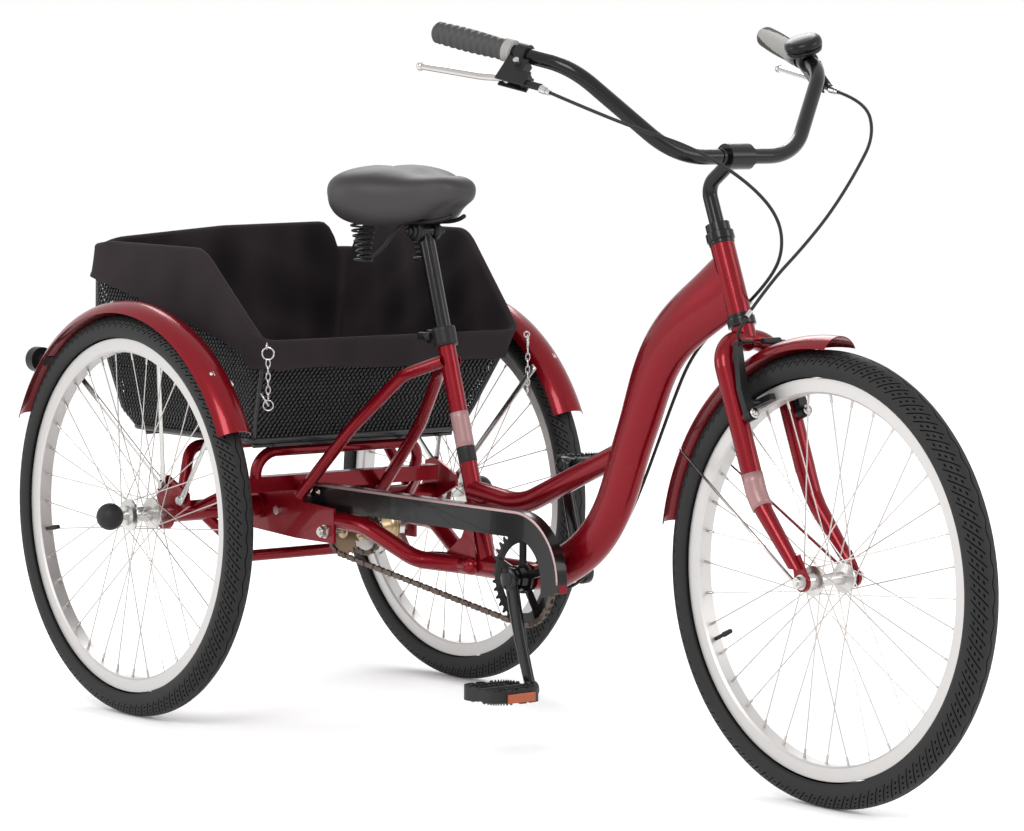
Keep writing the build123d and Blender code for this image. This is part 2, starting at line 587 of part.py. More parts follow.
for name, side in (("right", -1), ("left", 1)):
    keep("rear_fender_" + name, fender(Vector(REAR, side * HALF_TRACK, AXLE_Z), REAR_FENDER_FROM, REAR_FENDER_TO))
front_fender = fender(FRONT_CENTRE, FRONT_FENDER_FROM, FRONT_FENDER_TO)
skirt_x, skirt_z = polar(FENDER_EDGE + 3, 150)
wire = rod((FRONT - 13.5, -half_locknut - PLATE - 1.7, AXLE_Z + 1),
           (FRONT + skirt_x, -FENDER_WIDTH / 2, AXLE_Z + skirt_z), 1.6)
wire = wire - front_fender
keep("front_fender", front_fender, wire, other_side(wire))

STAY_WIRE = 3.0
stay_y = -BEARING_PLATE - PLATE - STAY_WIRE - 0.2
fender_in = -(HALF_TRACK - FENDER_WIDTH / 2 + FENDER_SHEET)
rear_stays = []
for foot_x, foot_z, angle in ((5, 372, 135.5), (5, 372, 85.5), (57, 351, 43.5)):
    x, z = polar(FENDER_EDGE + 4, angle)
    foot = Vector(REAR + foot_x, stay_y, foot_z)
    tip = Vector(REAR + x, fender_in + 2.6, AXLE_Z + z)
    rear_stays.append(rod(foot, tip, STAY_WIRE))
fender_stays = rear_stays[0] + rear_stays[1] + rear_stays[2]
for x, z in STAY_BOLTS:
    fender_stays += across(x, z, 8, stay_y - STAY_WIRE, stay_y + STAY_WIRE + 0.2)
for x, z in STAY_BOLTS:
    fender_stays -= across(x, z, 3.5, stay_y - 10, stay_y + 10)
    fender_stays -= across(x, z, 6.5, stay_y - 20, stay_y - STAY_WIRE)
fender_stays = fender_stays - PARTS["rear_fender_right"]
keep("fender_stays", fender_stays, other_side(fender_stays))

reflector_x, reflector_z = polar(FENDER_CROWN - 1, 137)
lamp_start = Vector(REAR + reflector_x, -HALF_TRACK, AXLE_Z + reflector_z)
lamp = rod(lamp_start + Vector(8, 0, 0), lamp_start - Vector(18, 0, 0), 10)
lamp += rod(lamp_start - Vector(18, 0, 0), lamp_start - Vector(38, 0, 0), 21)
fender_solid = fender(Vector(REAR, -HALF_TRACK, AXLE_Z), REAR_FENDER_FROM, REAR_FENDER_TO)
keep_out = rod(Vector(REAR, -HALF_TRACK - 60, AXLE_Z), Vector(REAR, -HALF_TRACK + 60, AXLE_Z), FENDER_CROWN - 3)
lamp = lamp - fender_solid - keep_out
keep("rear_reflectors", lamp, other_side(lamp))

# ---------------------------------------------------------------- chain guard
GUARD_OUTER = 105.0
GUARD_INNER = 63.0
GUARD_Y = -63.0
guard_back = REAR + 104
outer_arc = ThreePointArc((CRANK_X, CRANK_HEIGHT + GUARD_OUTER),
                          (CRANK_X + polar(GUARD_OUTER, 45)[0], CRANK_HEIGHT + polar(GUARD_OUTER, 45)[1]),
                          (CRANK_X + GUARD_OUTER, CRANK_HEIGHT))
inner_arc = ThreePointArc((CRANK_X + GUARD_INNER, CRANK_HEIGHT),
                          (CRANK_X + polar(GUARD_INNER, 45)[0], CRANK_HEIGHT + polar(GUARD_INNER, 45)[1]),
                          (CRANK_X, CRANK_HEIGHT + GUARD_INNER))
guard_edges = [Line((guard_back + 26, CRANK_HEIGHT + GUARD_OUTER), outer_arc @ 0), outer_arc,
               Line(outer_arc @ 1, (CRANK_X + GUARD_OUTER, CRANK_HEIGHT - 12)),
               Line((CRANK_X + GUARD_OUTER, CRANK_HEIGHT - 12), (CRANK_X + GUARD_INNER, CRANK_HEIGHT - 24)),
               Line((CRANK_X + GUARD_INNER, CRANK_HEIGHT - 24), inner_arc @ 0), inner_arc,
               Line(inner_arc @ 1, (guard_back, CRANK_HEIGHT + GUARD_INNER)),
               Line((guard_back, CRANK_HEIGHT + GUARD_INNER), (guard_back + 26, CRANK_HEIGHT + GUARD_OUTER))]
upright = Plane(origin=(0, GUARD_Y, 0), x_dir=(1, 0, 0), z_dir=(0, -1, 0))
guard_face = upright * make_face(guard_edges)
guard = extrude(guard_face, 2.0, dir=(0, -1, 0))
flange_line = [Line((guard_back + 26, CRANK_HEIGHT + GUARD_OUTER), outer_arc @ 0), outer_arc]
flange_inner = ThreePointArc((CRANK_X, CRANK_HEIGHT + GUARD_OUTER - 2),
                             (CRANK_X + polar(GUARD_OUTER - 2, 45)[0],
                              CRANK_HEIGHT + polar(GUARD_OUTER - 2, 45)[1]),
                             (CRANK_X + GUARD_OUTER - 2, CRANK_HEIGHT))
flange_edges = flange_line + [Line(outer_arc @ 1, flange_inner @ 1), flange_inner,
                              Line(flange_inner @ 0, (guard_back + 26, CRANK_HEIGHT + GUARD_OUTER - 2)),
                              Line((guard_back + 26, CRANK_HEIGHT + GUARD_OUTER - 2),
                                   (guard_back + 26, CRANK_HEIGHT + GUARD_OUTER))]
flange = extrude(upright * make_face(flange_edges), 16.0, dir=(0, 1, 0))
GUARD_TAB = (28.0, 16.0)    # length and height of the lug that meets the carriage plate
GUARD_ARM = 4.0             # radius of the arm that meets the seat tube
tab_reach = (CARRIAGE_HALF - 2 + GUARD_Y) / 2
tab_height = CRANK_HEIGHT + GUARD_INNER + 5 + GUARD_TAB[1] / 2
tab = block((guard_back + 8 + GUARD_TAB[0] / 2, GUARD_Y - tab_reach, tab_height),
            (GUARD_TAB[0], 2 * tab_reach, GUARD_TAB[1]))
arm_height = CRANK_HEIGHT + (GUARD_OUTER + GUARD_INNER) / 2 + GUARD_ARM
arm_ahead = on_seat_tube(arm_height).X + SEAT_TUBE_RADIUS + 1.5
arm = rod((arm_ahead, -13, arm_height), (arm_ahead, GUARD_Y, arm_height), GUARD_ARM)
keep("chain_guard", guard + flange + (arm - seat_envelope) + (tab - seat_stay_solid - carriage_plate))

# ---------------------------------------------------------------- cranks and pedals
arm_x, arm_z = polar(CRANK_LENGTH, CRANK_ANGLE)
PEDAL_SPINDLE = 5.0
PEDAL_OFFSET = 130.0
PEDAL_WIDTH = 92.0


def crank_arm(side):
    """A tapered arm with a boss at each end, and the pedal's spindle."""
    low, high = side * (CRANK_OFFSET - CRANK_THICK / 2), side * (CRANK_OFFSET + CRANK_THICK / 2)
    low, high = min(low, high), max(low, high)
    x, z = CRANK_X - side * arm_x, CRANK_HEIGHT - side * arm_z
    across_arm = Vector(-arm_z, 0, arm_x).normalized()
    heel, toe = Vector(CRANK_X, 0, CRANK_HEIGHT), Vector(x, 0, z)
    outline = [heel + across_arm * 13, toe + across_arm * 9, toe - across_arm * 9, heel - across_arm * 13]
    beam = side_plate([(point.X, point.Z) for point in outline], low + 2, high - 2)
    beam += across(CRANK_X, CRANK_HEIGHT, 18, low, high) + across(x, z, 13, low, high)
    end = side * (PEDAL_OFFSET + PEDAL_WIDTH / 2 - 6)
    inner = side * CRANK_OFFSET
    return beam + across(x, z, PEDAL_SPINDLE, min(inner, end), max(inner, end))


spindle = across(CRANK_X, CRANK_HEIGHT, SPINDLE_RADIUS, -CRANK_OFFSET, CRANK_OFFSET)
keep("cranks", crank_arm(-1) + crank_arm(1) + spindle)
ring = sprocket(CRANK_X, CRANK_HEIGHT, -RING_OFFSET, RING_TEETH, 54)
arms_low, arms_high = -RING_OFFSET - 3, -RING_OFFSET + 1
spider = across(CRANK_X, CRANK_HEIGHT, 24, arms_low, arms_high, SPINDLE_RADIUS)
for number in range(5):
    x, z = polar(64, 18 + 72 * number)
    span = rod((CRANK_X, -RING_OFFSET, CRANK_HEIGHT), (CRANK_X + x, -RING_OFFSET, CRANK_HEIGHT + z), 7)
    span = span & (Pos(CRANK_X, (arms_low + arms_high) / 2, CRANK_HEIGHT) * Box(300, arms_high - arms_low, 300))
    spider += span - across(CRANK_X, CRANK_HEIGHT, SPINDLE_RADIUS, -80, 0)
spacer = across(CRANK_X, CRANK_HEIGHT, 20, -CRANK_OFFSET + CRANK_THICK / 2, -RING_OFFSET - 3, SPINDLE_RADIUS)
keep("chainring", ring + spider + spacer)


def pedal(side):
    """A platform pedal: a sleeve on the spindle in a toothed frame, with reflectors fore and aft."""
    x, z = CRANK_X - side * arm_x, CRANK_HEIGHT - side * arm_z
    y = side * PEDAL_OFFSET
    half = PEDAL_WIDTH / 2
    frame = Pos(x, y, z) * (Box(96, PEDAL_WIDTH, 24) - Box(82, PEDAL_WIDTH - 16, 40))
    frame += Pos(x, y, z) * Box(96, 12, 20)
    for shift in (-34, 34):
        for number in range(8):
            tooth_y = y - half + 8 + number * (PEDAL_WIDTH - 16) / 7
            frame += Pos(x + shift * 1.32, tooth_y, z + 13) * Box(5, 5, 6)
    frame += across(x, z, 10, y - half, y + half)
    frame = frame - across(x, z, PEDAL_SPINDLE + RUN_GAP, y - half - 1, y + half + 1)
    reflectors = [Pos(x + shift, y, z - 2) * Box(4, 52, 15) for shift in (-50, 50)]
    return frame, reflectors


for name, side in (("right", -1), ("left", 1)):
    frame, reflectors = pedal(side)
    keep("pedal_" + name, frame, *reflectors)

# ---------------------------------------------------------------- fork
CROWN = -34.0               # along the steering axis from the head tube's lower end
STEERER_TOP = HEAD_LENGTH + CUP_HEIGHT + 14
BLADE_BEND = -232.0
FORK_END = Vector(FRONT, 0, AXLE_Z)
race_low = on_head(-CUP_HEIGHT - FACE_GAP)
steerer = rod(on_head(CROWN), on_head(STEERER_TOP), STEERER_RADIUS)
steerer += rod(on_head(CROWN + 2), race_low, 17)


def fork_leg():
    """Right leg: out of the crown, down along the steering axis, then forward to the axle with a taper."""
    top = (on_head(CROWN), on_head(CROWN + 12, 0, -FORK_HALF), on_head(BLADE_BEND, 0, -FORK_HALF))
    leg = swept(top, [40], FORK_RADIUS)
    tip = FORK_END + Vector(-6, -FORK_HALF, 12)
    bend = on_head(BLADE_BEND - 45, 2, -FORK_HALF)
    blade = FilletPolyline(on_head(BLADE_BEND + 6, 0, -FORK_HALF), bend, tip, radius=110)
    sections = []
    stations = 9
    for number in range(stations):
        share = number / (stations - 1)
        radius = FORK_RADIUS - 0.2 + (FORK_TIP_RADIUS - FORK_RADIUS) * share
        sections.append(Plane(origin=blade @ share, z_dir=blade % share) * Circle(radius))
    leg += loft(sections, ruled=True)
    inner = -OVER_LOCKNUTS / 2
    tab = across(FRONT, AXLE_Z, 14, inner - 5, inner)
    tab += side_plate(((FRONT - 14, AXLE_Z), (FRONT - 22, AXLE_Z + 34), (FRONT - 8, AXLE_Z + 38),
                       (FRONT + 13, AXLE_Z + 4)), inner - 5, inner)
    leg = leg - side_plate(((FRONT - 30, AXLE_Z - 30), (FRONT - 30, AXLE_Z + 18), (FRONT + 30, AXLE_Z + 18),
                            (FRONT + 30, AXLE_Z - 30)), -FORK_HALF - 30, -FORK_HALF + 30)
    tab = tab - across(FRONT, AXLE_Z, FRONT_AXLE_RADIUS, inner - 10, inner + 5)
    return leg + tab


BRAKE_ALONG = -151.5        # brake pivots, along the steering axis from the head tube's lower end
PIVOT_RADIUS = 4.0
PIVOT_HALF = 51.0
pivot_pin = rod(on_head(BRAKE_ALONG, 8, -PIVOT_HALF), on_head(BRAKE_ALONG, 36, -PIVOT_HALF), PIVOT_RADIUS)
pivot_pin += rod(on_head(BRAKE_ALONG, 8, -PIVOT_HALF), on_head(BRAKE_ALONG, 19, -PIVOT_HALF), 7)
right_leg = fork_leg() + pivot_pin
keep("fork", steerer + right_leg + other_side(right_leg))

front_axle = across(FRONT, AXLE_Z, FRONT_AXLE_RADIUS, -66, 66)
nut_start = half_locknut + PLATE
for side in (-1, 1):
    start, end = sorted((side * (nut_start + 2), side * (nut_start + 11)))
    washer_start, washer_end = sorted((side * nut_start, side * (nut_start + 2)))
    front_axle += hexagon(FRONT, AXLE_Z, 8.5, start, end) + across(FRONT, AXLE_Z, 11, washer_start, washer_end)
keep("front_axle", front_axle)

# ---------------------------------------------------------------- stem and handlebar
BAR_CLAMP = Vector(FRONT - 204, 0, 920)
stem_foot = on_head(STEERER_TOP)
stem_points = (stem_foot, on_head(HEAD_LENGTH + 84), BAR_CLAMP)
stem = swept(stem_points, [24], 11.0)
lock_nut = rod(on_head(HEAD_LENGTH + CUP_HEIGHT + FACE_GAP), stem_foot, 18) - rod(on_head(0), on_head(200), 12.7)
stem += across(BAR_CLAMP.X, BAR_CLAMP.Z, 19, -22, 22)
stem = stem - across(BAR_CLAMP.X, BAR_CLAMP.Z, BAR_CLAMP_RADIUS, -60, 60)
keep("stem", stem, lock_nut)

BAR_END = Vector(FRONT - 498, -321, 1098)
BAR_HIGH = Vector(FRONT - 286, -241, 1047)
BAR_LOW = Vector(BAR_CLAMP.X, -114, BAR_CLAMP.Z)


def across_plane(point):
    return Vector(point.X, -point.Y, point.Z)


bar_points = (BAR_END, BAR_HIGH, BAR_LOW, across_plane(BAR_LOW), across_plane(BAR_HIGH), across_plane(BAR_END))
bar = swept(bar_points, [100, 110, 110, 100], BAR_RADIUS, TUBE_WALL)
sleeve = across(BAR_CLAMP.X, BAR_CLAMP.Z, BAR_CLAMP_RADIUS, -32, 32, BAR_RADIUS)
keep("handlebar", bar + sleeve)

BAR_IN = (BAR_HIGH - BAR_END).normalized()
BAR_DROP = (Vector(0, 0, -1) - BAR_IN * (Vector(0, 0, -1).dot(BAR_IN))).normalized()
BAR_SIDE = BAR_IN.cross(BAR_DROP)
grip = rod(BAR_END - BAR_IN * 3, BAR_END + BAR_IN * GRIP_LENGTH, GRIP_RADIUS)
grip = grip - rod(BAR_END, BAR_END + BAR_IN * (GRIP_LENGTH + 1), BAR_RADIUS)
keep("grips", grip, other_side(grip))


LEVER_TILT = 40.0           # degrees the brake controls are turned outwards about the bar
LEVER_WAY = BAR_DROP * math.cos(math.radians(LEVER_TILT)) - BAR_SIDE * math.sin(math.radians(LEVER_TILT))
LEVER_SIDE = BAR_IN.cross(LEVER_WAY)


def at_control(clamp, along, drop, side=0.0):
    """A point of a brake control: inboard along the bar, away from it, and to its side."""
    return BAR_END + BAR_IN * (clamp + along) + LEVER_WAY * drop + LEVER_SIDE * side


LEVER_DROP = 44.0
LEVER_PIN = 3.0
KNUCKLE = 8.0
PLUNGER_RADIUS = 4.5
PLUNGER_DROP = 24.0


def lever_clamp(clamp):
    """Clamp ring, lever housing with two cheeks, hinge pin and cable adjuster."""
    ring = rod(at_control(clamp, -8, 0), at_control(clamp, 8, 0), BAR_RADIUS + 5)
    body = block(at_control(clamp, 1, 22), (34, 18, 20), x_dir=BAR_IN, z_dir=LEVER_WAY)
    for side in (-7.5, 7.5):
        body += block(at_control(clamp, 8, 43, side), (48, 3, 24), x_dir=BAR_IN, z_dir=LEVER_WAY)
    body += block(at_control(clamp, 27, 42), (10, 15, 18), x_dir=BAR_IN, z_dir=LEVER_WAY)
    body += rod(at_control(clamp, -4, LEVER_DROP, -8), at_control(clamp, -4, LEVER_DROP, 8), LEVER_PIN)
    body += rod(at_control(clamp, 30, 46), at_control(clamp, 55, 46), 5.5)
    body = ring + body - rod(at_control(clamp, -30, 0), at_control(clamp, 40, 0), BAR_RADIUS)
    bore = rod(at_control(clamp, 6, PLUNGER_DROP, -14), at_control(clamp, 6, PLUNGER_DROP, 0),
               PLUNGER_RADIUS + RUN_GAP)
    return body - bore


def lever(clamp):
    """Blade and knuckle of a brake lever."""
    knuckle = rod(at_control(clamp, -4, LEVER_DROP, -KNUCKLE / 2), at_control(clamp, -4, LEVER_DROP, KNUCKLE / 2),
                  8.5)
    blade_points = (at_control(clamp, -8, LEVER_DROP + 3), at_control(clamp, -40, LEVER_DROP + 10),
                    at_control(clamp, -150, LEVER_DROP + 12, 12))
    blade = swept(blade_points, [60], 4.6)
    blade += Pos(*at_control(clamp, -150, LEVER_DROP + 12, 12)) * Sphere(6.5)
    return knuckle + blade - rod(at_control(clamp, -4, LEVER_DROP, -9), at_control(clamp, -4, LEVER_DROP, 9),
                                 LEVER_PIN + RUN_GAP)


def plunger(clamp):
    """Parking lock button in the side of a lever housing."""
    foot = at_control(clamp, 6, PLUNGER_DROP, -3)
    return rod(foot, at_control(clamp, 6, PLUNGER_DROP, -20), PLUNGER_RADIUS)


RIGHT_CLAMP = 152.0
LEFT_CLAMP = 152.0
keep("lever_clamps", lever_clamp(RIGHT_CLAMP), other_side(lever_clamp(LEFT_CLAMP)))
keep("brake_lever_right", lever(RIGHT_CLAMP))
keep("brake_lever_left", other_side(lever(LEFT_CLAMP)))
keep("lock_plunger_right", plunger(RIGHT_CLAMP))
keep("lock_plunger_left", other_side(plunger(LEFT_CLAMP)))

BELL_CLAMP = 177.0
BELL_TILT = -20.0           # degrees the bell leans outwards
BELL_RADIUS = 26.0
BELL_HEIGHT = 17.0
BELL_FOOT = 17.0            # bar centre to the foot of the bell's base
BELL_BASE = 7.0
BELL_PIN = 2.0
bell_up = (BAR_SIDE * -math.sin(math.radians(BELL_TILT)) - BAR_DROP * math.cos(math.radians(BELL_TILT)))
bell_across = BAR_IN.cross(bell_up)
bell_centre = BAR_END + BAR_IN * BELL_CLAMP
bar_clearance = rod(bell_centre - BAR_IN * 20, bell_centre + BAR_IN * 20, BAR_RADIUS)
bell = rod(bell_centre - BAR_IN * 6, bell_centre + BAR_IN * 6, BAR_RADIUS + 4)
bell += rod(bell_centre, bell_centre + bell_up * BELL_FOOT, 7)
bell += rod(bell_centre + bell_up * BELL_FOOT, bell_centre + bell_up * (BELL_FOOT + BELL_BASE), 20)
cap_radius = (BELL_RADIUS ** 2 + BELL_HEIGHT ** 2) / (2 * BELL_HEIGHT)
dome_plane = Plane(origin=bell_centre + bell_up * (BELL_FOOT + BELL_BASE + 1), x_dir=BAR_IN, z_dir=bell_up)
dome = Pos(0, 0, BELL_HEIGHT - cap_radius) * Sphere(cap_radius)
dome = dome & (Pos(0, 0, BELL_HEIGHT / 2) * Box(4 * BELL_RADIUS, 4 * BELL_RADIUS, BELL_HEIGHT))
bell = bell + (dome_plane * dome) + rod(bell_centre + bell_up * (BELL_FOOT + BELL_BASE - 1),
                                        bell_centre + bell_up * (BELL_FOOT + BELL_BASE + 2), 6)
pin_foot = bell_centre + bell_up * (BELL_FOOT - 5) + bell_across * 16
bell = bell - bar_clearance + rod(pin_foot, pin_foot + bell_up * 6, BELL_PIN)
tail_way = (bell_across - BAR_IN * 1.2).normalized()
bell_lever = rod(pin_foot - bell_up * 1, pin_foot + bell_up * 3, 4.5)
bell_lever += block(pin_foot + bell_up * 1 + tail_way * 13, (26, 7, 3), x_dir=tail_way, z_dir=bell_up)
bell_lever = bell_lever - rod(pin_foot - bell_up * 4, pin_foot + bell_up * 9, BELL_PIN + RUN_GAP)
keep("bell", other_side(bell))
keep("bell_lever", other_side(bell_lever))


# ---------------------------------------------------------------- front brake
ARM_LENGTH = 104.0
PAD_ALONG = 20.0
ARM_BACK, ARM_FRONT = 20.0, 33.0


def brake_arm():
    """Right brake arm with its pad; it turns on the fork's pivot."""
    low = rod(on_head(BRAKE_ALONG, ARM_BACK, -PIVOT_HALF), on_head(BRAKE_ALONG, ARM_FRONT, -PIVOT_HALF), 9)
    top_side = -PIVOT_HALF + 9
    beam = []
    for along, side, wide in ((0, -PIVOT_HALF, 8), (40, -PIVOT_HALF - 2, 7), (ARM_LENGTH, top_side, 5)):
        beam.append((along, side - wide, side + wide))
    left_edge = [on_head(BRAKE_ALONG + along, ARM_BACK, high) for along, _, high in beam]
    right_edge = [on_head(BRAKE_ALONG + along, ARM_BACK, back) for along, back, _ in reversed(beam)]
    profile = make_face(Polyline(*left_edge, *right_edge, close=True))
    arm = extrude(profile, amount=ARM_FRONT - ARM_BACK - 3, dir=HEAD_AHEAD)
    arm += low
    pad_along = BRAKE_ALONG + PAD_ALONG
    pad_gap = RIM_WIDTH / 2 + 2.2
    arm += rod(on_head(pad_along, 26, -PIVOT_HALF), on_head(pad_along, 26, -pad_gap - 9), 3)
    pad = block(on_head(pad_along, 20, -pad_gap - 5), (54, 10, 9), x_dir=HEAD_AHEAD, z_dir=HEAD_UP)
    arm += pad
    return arm - rod(on_head(BRAKE_ALONG, 0, -PIVOT_HALF), on_head(BRAKE_ALONG, 60, -PIVOT_HALF),
                     PIVOT_RADIUS + RUN_GAP)


arm_top = on_head(BRAKE_ALONG + ARM_LENGTH, (ARM_BACK + ARM_FRONT - 3) / 2)
guide_height = arm_top.Z + 5
bracket = Pos(arm_top.X, -42, arm_top.Z) * Box(11, 8, 12)
guide_points = ((REAR + 1138, -31, 690), (arm_top.X, -53, guide_height), (arm_top.X, -12, guide_height))
guide = swept(guide_points, [13], 2.6)
boot = rod((arm_top.X, 6, guide_height), (arm_top.X, 39, guide_height), 4.5)
keep("brake_arm_right", brake_arm() + bracket + guide)
keep("brake_arm_left", other_side(brake_arm() + bracket) + boot)

# ---------------------------------------------------------------- cables
rear_cable = ((980, -280.5, 1016), (1046, -256, 990), (1114, -212, 960), (1150, -140, 934), (1150, -40, 886),
              (1157, 14, 836), (1152, 28, 785), (1124, 27, 742), (1088, 22, 711))
front_cable = ((980, 280.5, 1016), (1052, 282, 1001), (1104, 252, 950), (1130, 190, 896), (1144, 128, 839),
               (1148, 70, 790), (1144, 10, 740), (1138.4, -29, 693.5))
under_keel = CRANK_HEIGHT - 25
behind_stay = CRANK_HEIGHT - 22
frame_cable = ((1081.3, 21.1, 705.2), (1052, 28.4, 688), (1000, 28.4, 664), (950, 28, 618), (914, 28, 556),
               (878, 28, 486), (838, 28, 410), (796, 28.5, 346), (734, 28.5, CRANK_HEIGHT + 22),
               (672, 28, under_keel), (586, 26, under_keel), (490, 34, behind_stay), (400, 56, behind_stay),
               (318, 70, HUB_HEIGHT - 27), (238, 47, HUB_HEIGHT - 42))


def cable(points):
    """A cable through hand-chosen points given from the rear axle, with the widest bends that fit."""
    route = [Vector(REAR + x, y, z) for x, y, z in points]
    radii = []
    for before, here, after in zip(route, route[1:], route[2:]):
        turn = (here - before).get_angle(after - here)
        shorter = min((here - before).length, (after - here).length)
        radii.append(0.45 * shorter / math.tan(math.radians(turn / 2)))
    return swept(route, radii, CABLE_RADIUS), radii


for name, points in (("rear_brake_cable", rear_cable), ("front_brake_cable", front_cable),
                     ("rear_cable_run", frame_cable)):
    solid, radii = cable(points)
    print(name, "bend radii", [round(value) for value in radii])
    keep(name, solid)


# ---------------------------------------------------------------- basket and liner
def tray(bottom, top, low, high, wall):
    """An open tapered box; bottom and top are (back, front, half width) from the rear axle."""
    def shell(inset, low_z, high_z):
        faces = []
        for (back, front, half), z in ((bottom, low_z), (top, high_z)):
            outline = Rectangle(front - back - 2 * inset, 2 * (half - inset))
            faces.append(Pos(REAR + (back + front) / 2, 0, z) * fillet(outline.vertices(), TRAY_CORNER - inset))
        return loft(faces)
    return shell(0.0, low, high) - shell(wall, low + wall, high + 0.01)


BASKET_BOTTOM = (-178, 168, 214)
BASKET_TOP = (-250, 264, 256)
rails = []
rail_foot = HOOP_TOP + HOOP_RADIUS
for side in (-1, 1):
    rails.append(Pos(REAR + 20, side * 90, (rail_foot + BASKET_FLOOR) / 2) * Box(
        230, 14, BASKET_FLOOR - rail_foot))
keep("basket", tray(BASKET_BOTTOM, BASKET_TOP, BASKET_FLOOR, BASKET_RIM, WICKER), *rails)


def grown(sizes, amount):
    """A tray's back, front and half width, moved outwards."""
    back, front, half = sizes
    return back - amount, front + amount, half + amount


def solid_tray(bottom, top, low, high, corner=TRAY_CORNER):
    """A closed tapered block with the tray's rounded corners."""
    faces = []
    for (back, front, half), z in ((bottom, low), (top, high)):
        outline = Rectangle(front - back, 2 * half)
        faces.append(Pos(REAR + (back + front) / 2, 0, z) * fillet(outline.vertices(), corner))
    return loft(faces)


CUFF_DROP = 72.0
cuff_share = 1 - CUFF_DROP / (BASKET_RIM - BASKET_FLOOR)
cuff_sizes = [low + (high - low) * cuff_share for low, high in zip(BASKET_BOTTOM, BASKET_TOP)]
lip = BASKET_RIM + LINER
over_rim = solid_tray(grown(BASKET_TOP, LINER), grown(BASKET_TOP, LINER), BASKET_RIM, lip)
cuff = solid_tray(grown(cuff_sizes, LINER), grown(BASKET_TOP, LINER), BASKET_RIM - CUFF_DROP, BASKET_RIM)
basket_block = solid_tray(BASKET_BOTTOM, BASKET_TOP, BASKET_FLOOR, BASKET_RIM)
cuff = cuff - basket_block
inner_fit = grown(BASKET_BOTTOM, -WICKER - 1), grown(BASKET_TOP, -WICKER - 1)
bag = tray(*inner_fit, BASKET_FLOOR + WICKER + 1, BASKET_RIM, LINER)
mouth = solid_tray(grown(BASKET_TOP, -WICKER - 1 - LINER), grown(BASKET_TOP, -WICKER - 1 - LINER),
                   BASKET_RIM - 1, LINER_TOP + 1)
WALL_PEAK = 92.0            # where the side walls start to slope down, ahead of the rear axle
wall_block = solid_tray(grown(BASKET_TOP, LINER), (-250, 264, 270), lip, LINER_TOP)
slope = side_plate(((REAR + WALL_PEAK, LINER_TOP), (REAR + 262, lip), (REAR + 300, lip),
                    (REAR + 300, LINER_TOP + 9), (REAR + WALL_PEAK, LINER_TOP + 9)), -400, 400)
wall_inside = solid_tray(grown(BASKET_TOP, -LINER), grown((-250, 264, 270), -2 * LINER), lip - 1, LINER_TOP + 1)
keep("basket_liner", bag + (over_rim - mouth) + cuff + (wall_block - wall_inside - slope))
chain_top, chain_low = 606.0, 516.0
hang = rod((REAR + 277, -259, chain_low), (REAR + 277, -259, chain_top), 3.0)
hang += rod((REAR + 272, -259, chain_top - 3), (REAR + 262, -259, chain_top - 3), 2.0)
hang = hang - cuff - basket_block
keep("basket_chains", hang, other_side(hang))

# ---------------------------------------------------------------- seat
post_low = on_seat_tube(SEAT_TUBE_TOP) - seat_axis * POST_INSERT
post_high = on_seat_tube(POST_TOP)
clamp_point = post_high + seat_axis * 16
post = rod(post_low, post_high, POST_RADIUS, POST_RADIUS - 2) + rod(post_high - seat_axis * 8, clamp_point, 11)
post += across(clamp_point.X, clamp_point.Z, 12, -12, 12)
post = post - across(clamp_point.X, clamp_point.Z, 4 + RUN_GAP, -20, 20)
keep("seat_post", post)


def saddle_frame():
    """Clamp cheeks with their bolt, two rails and two rear springs."""
    cheeks = across(clamp_point.X, clamp_point.Z, 4, -40, 40)
    for side in (-1, 1):
        low, high = sorted((side * 12.5, side * 20))
        cheeks += across(clamp_point.X, clamp_point.Z, 15, low, high)
        rail_points = ((REAR + 425, side * 12, 824), (REAR + 400, side * 20, 806),
                       (REAR + 318, side * 22, clamp_point.Z + 14), (REAR + 262, side * 52, 742))
        cheeks += swept(rail_points, [20, 60], 3.5)
        spring = Pos(REAR + 255, side * 60, 773) * Cone(13, 20, 60)
        cheeks += spring + rod((REAR + 255, side * 60, 738), (REAR + 255, side * 60, 746), 15)
    return cheeks


frame_solid = saddle_frame() - across(clamp_point.X, clamp_point.Z, 12.4, -12.4, 12.4) + across(
    clamp_point.X, clamp_point.Z, 4, -14, 14)
keep("saddle_frame", frame_solid)


def saddle():
    """A wide padded saddle: rounded sections from the tail to the nose."""
    stations = ((212, 70, 812, 866), (228, 104, 804, 882), (262, 122, 799, 890), (310, 112, 799, 889),
                (360, 72, 801, 882), (406, 44, 805, 873), (434, 30, 814, 862))
    sections = []
    for ahead, half, low, high in stations:
        outline = Rectangle(2 * half, high - low)
        corner = min(half, (high - low) / 2) * 0.92
        plane = Plane(origin=(REAR + ahead, 0, (low + high) / 2), x_dir=(0, 1, 0), z_dir=(1, 0, 0))
        sections.append(plane * fillet(outline.vertices(), corner))
    hollow = Pos(REAR + 335, 0, 790) * Box(190, 76, 44)
    return loft(sections) - hollow


keep("saddle", saddle() - frame_solid)

# ---------------------------------------------------------------- output
os.makedirs("parts", exist_ok=True)
for name, shape in PARTS.items():
    export_step(shape, f"parts/{name}.step")
print(len(PARTS), "sub-parts")
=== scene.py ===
"""Dresses the adult tricycle: finishes for its solids, and the soft, woven and repeated parts."""

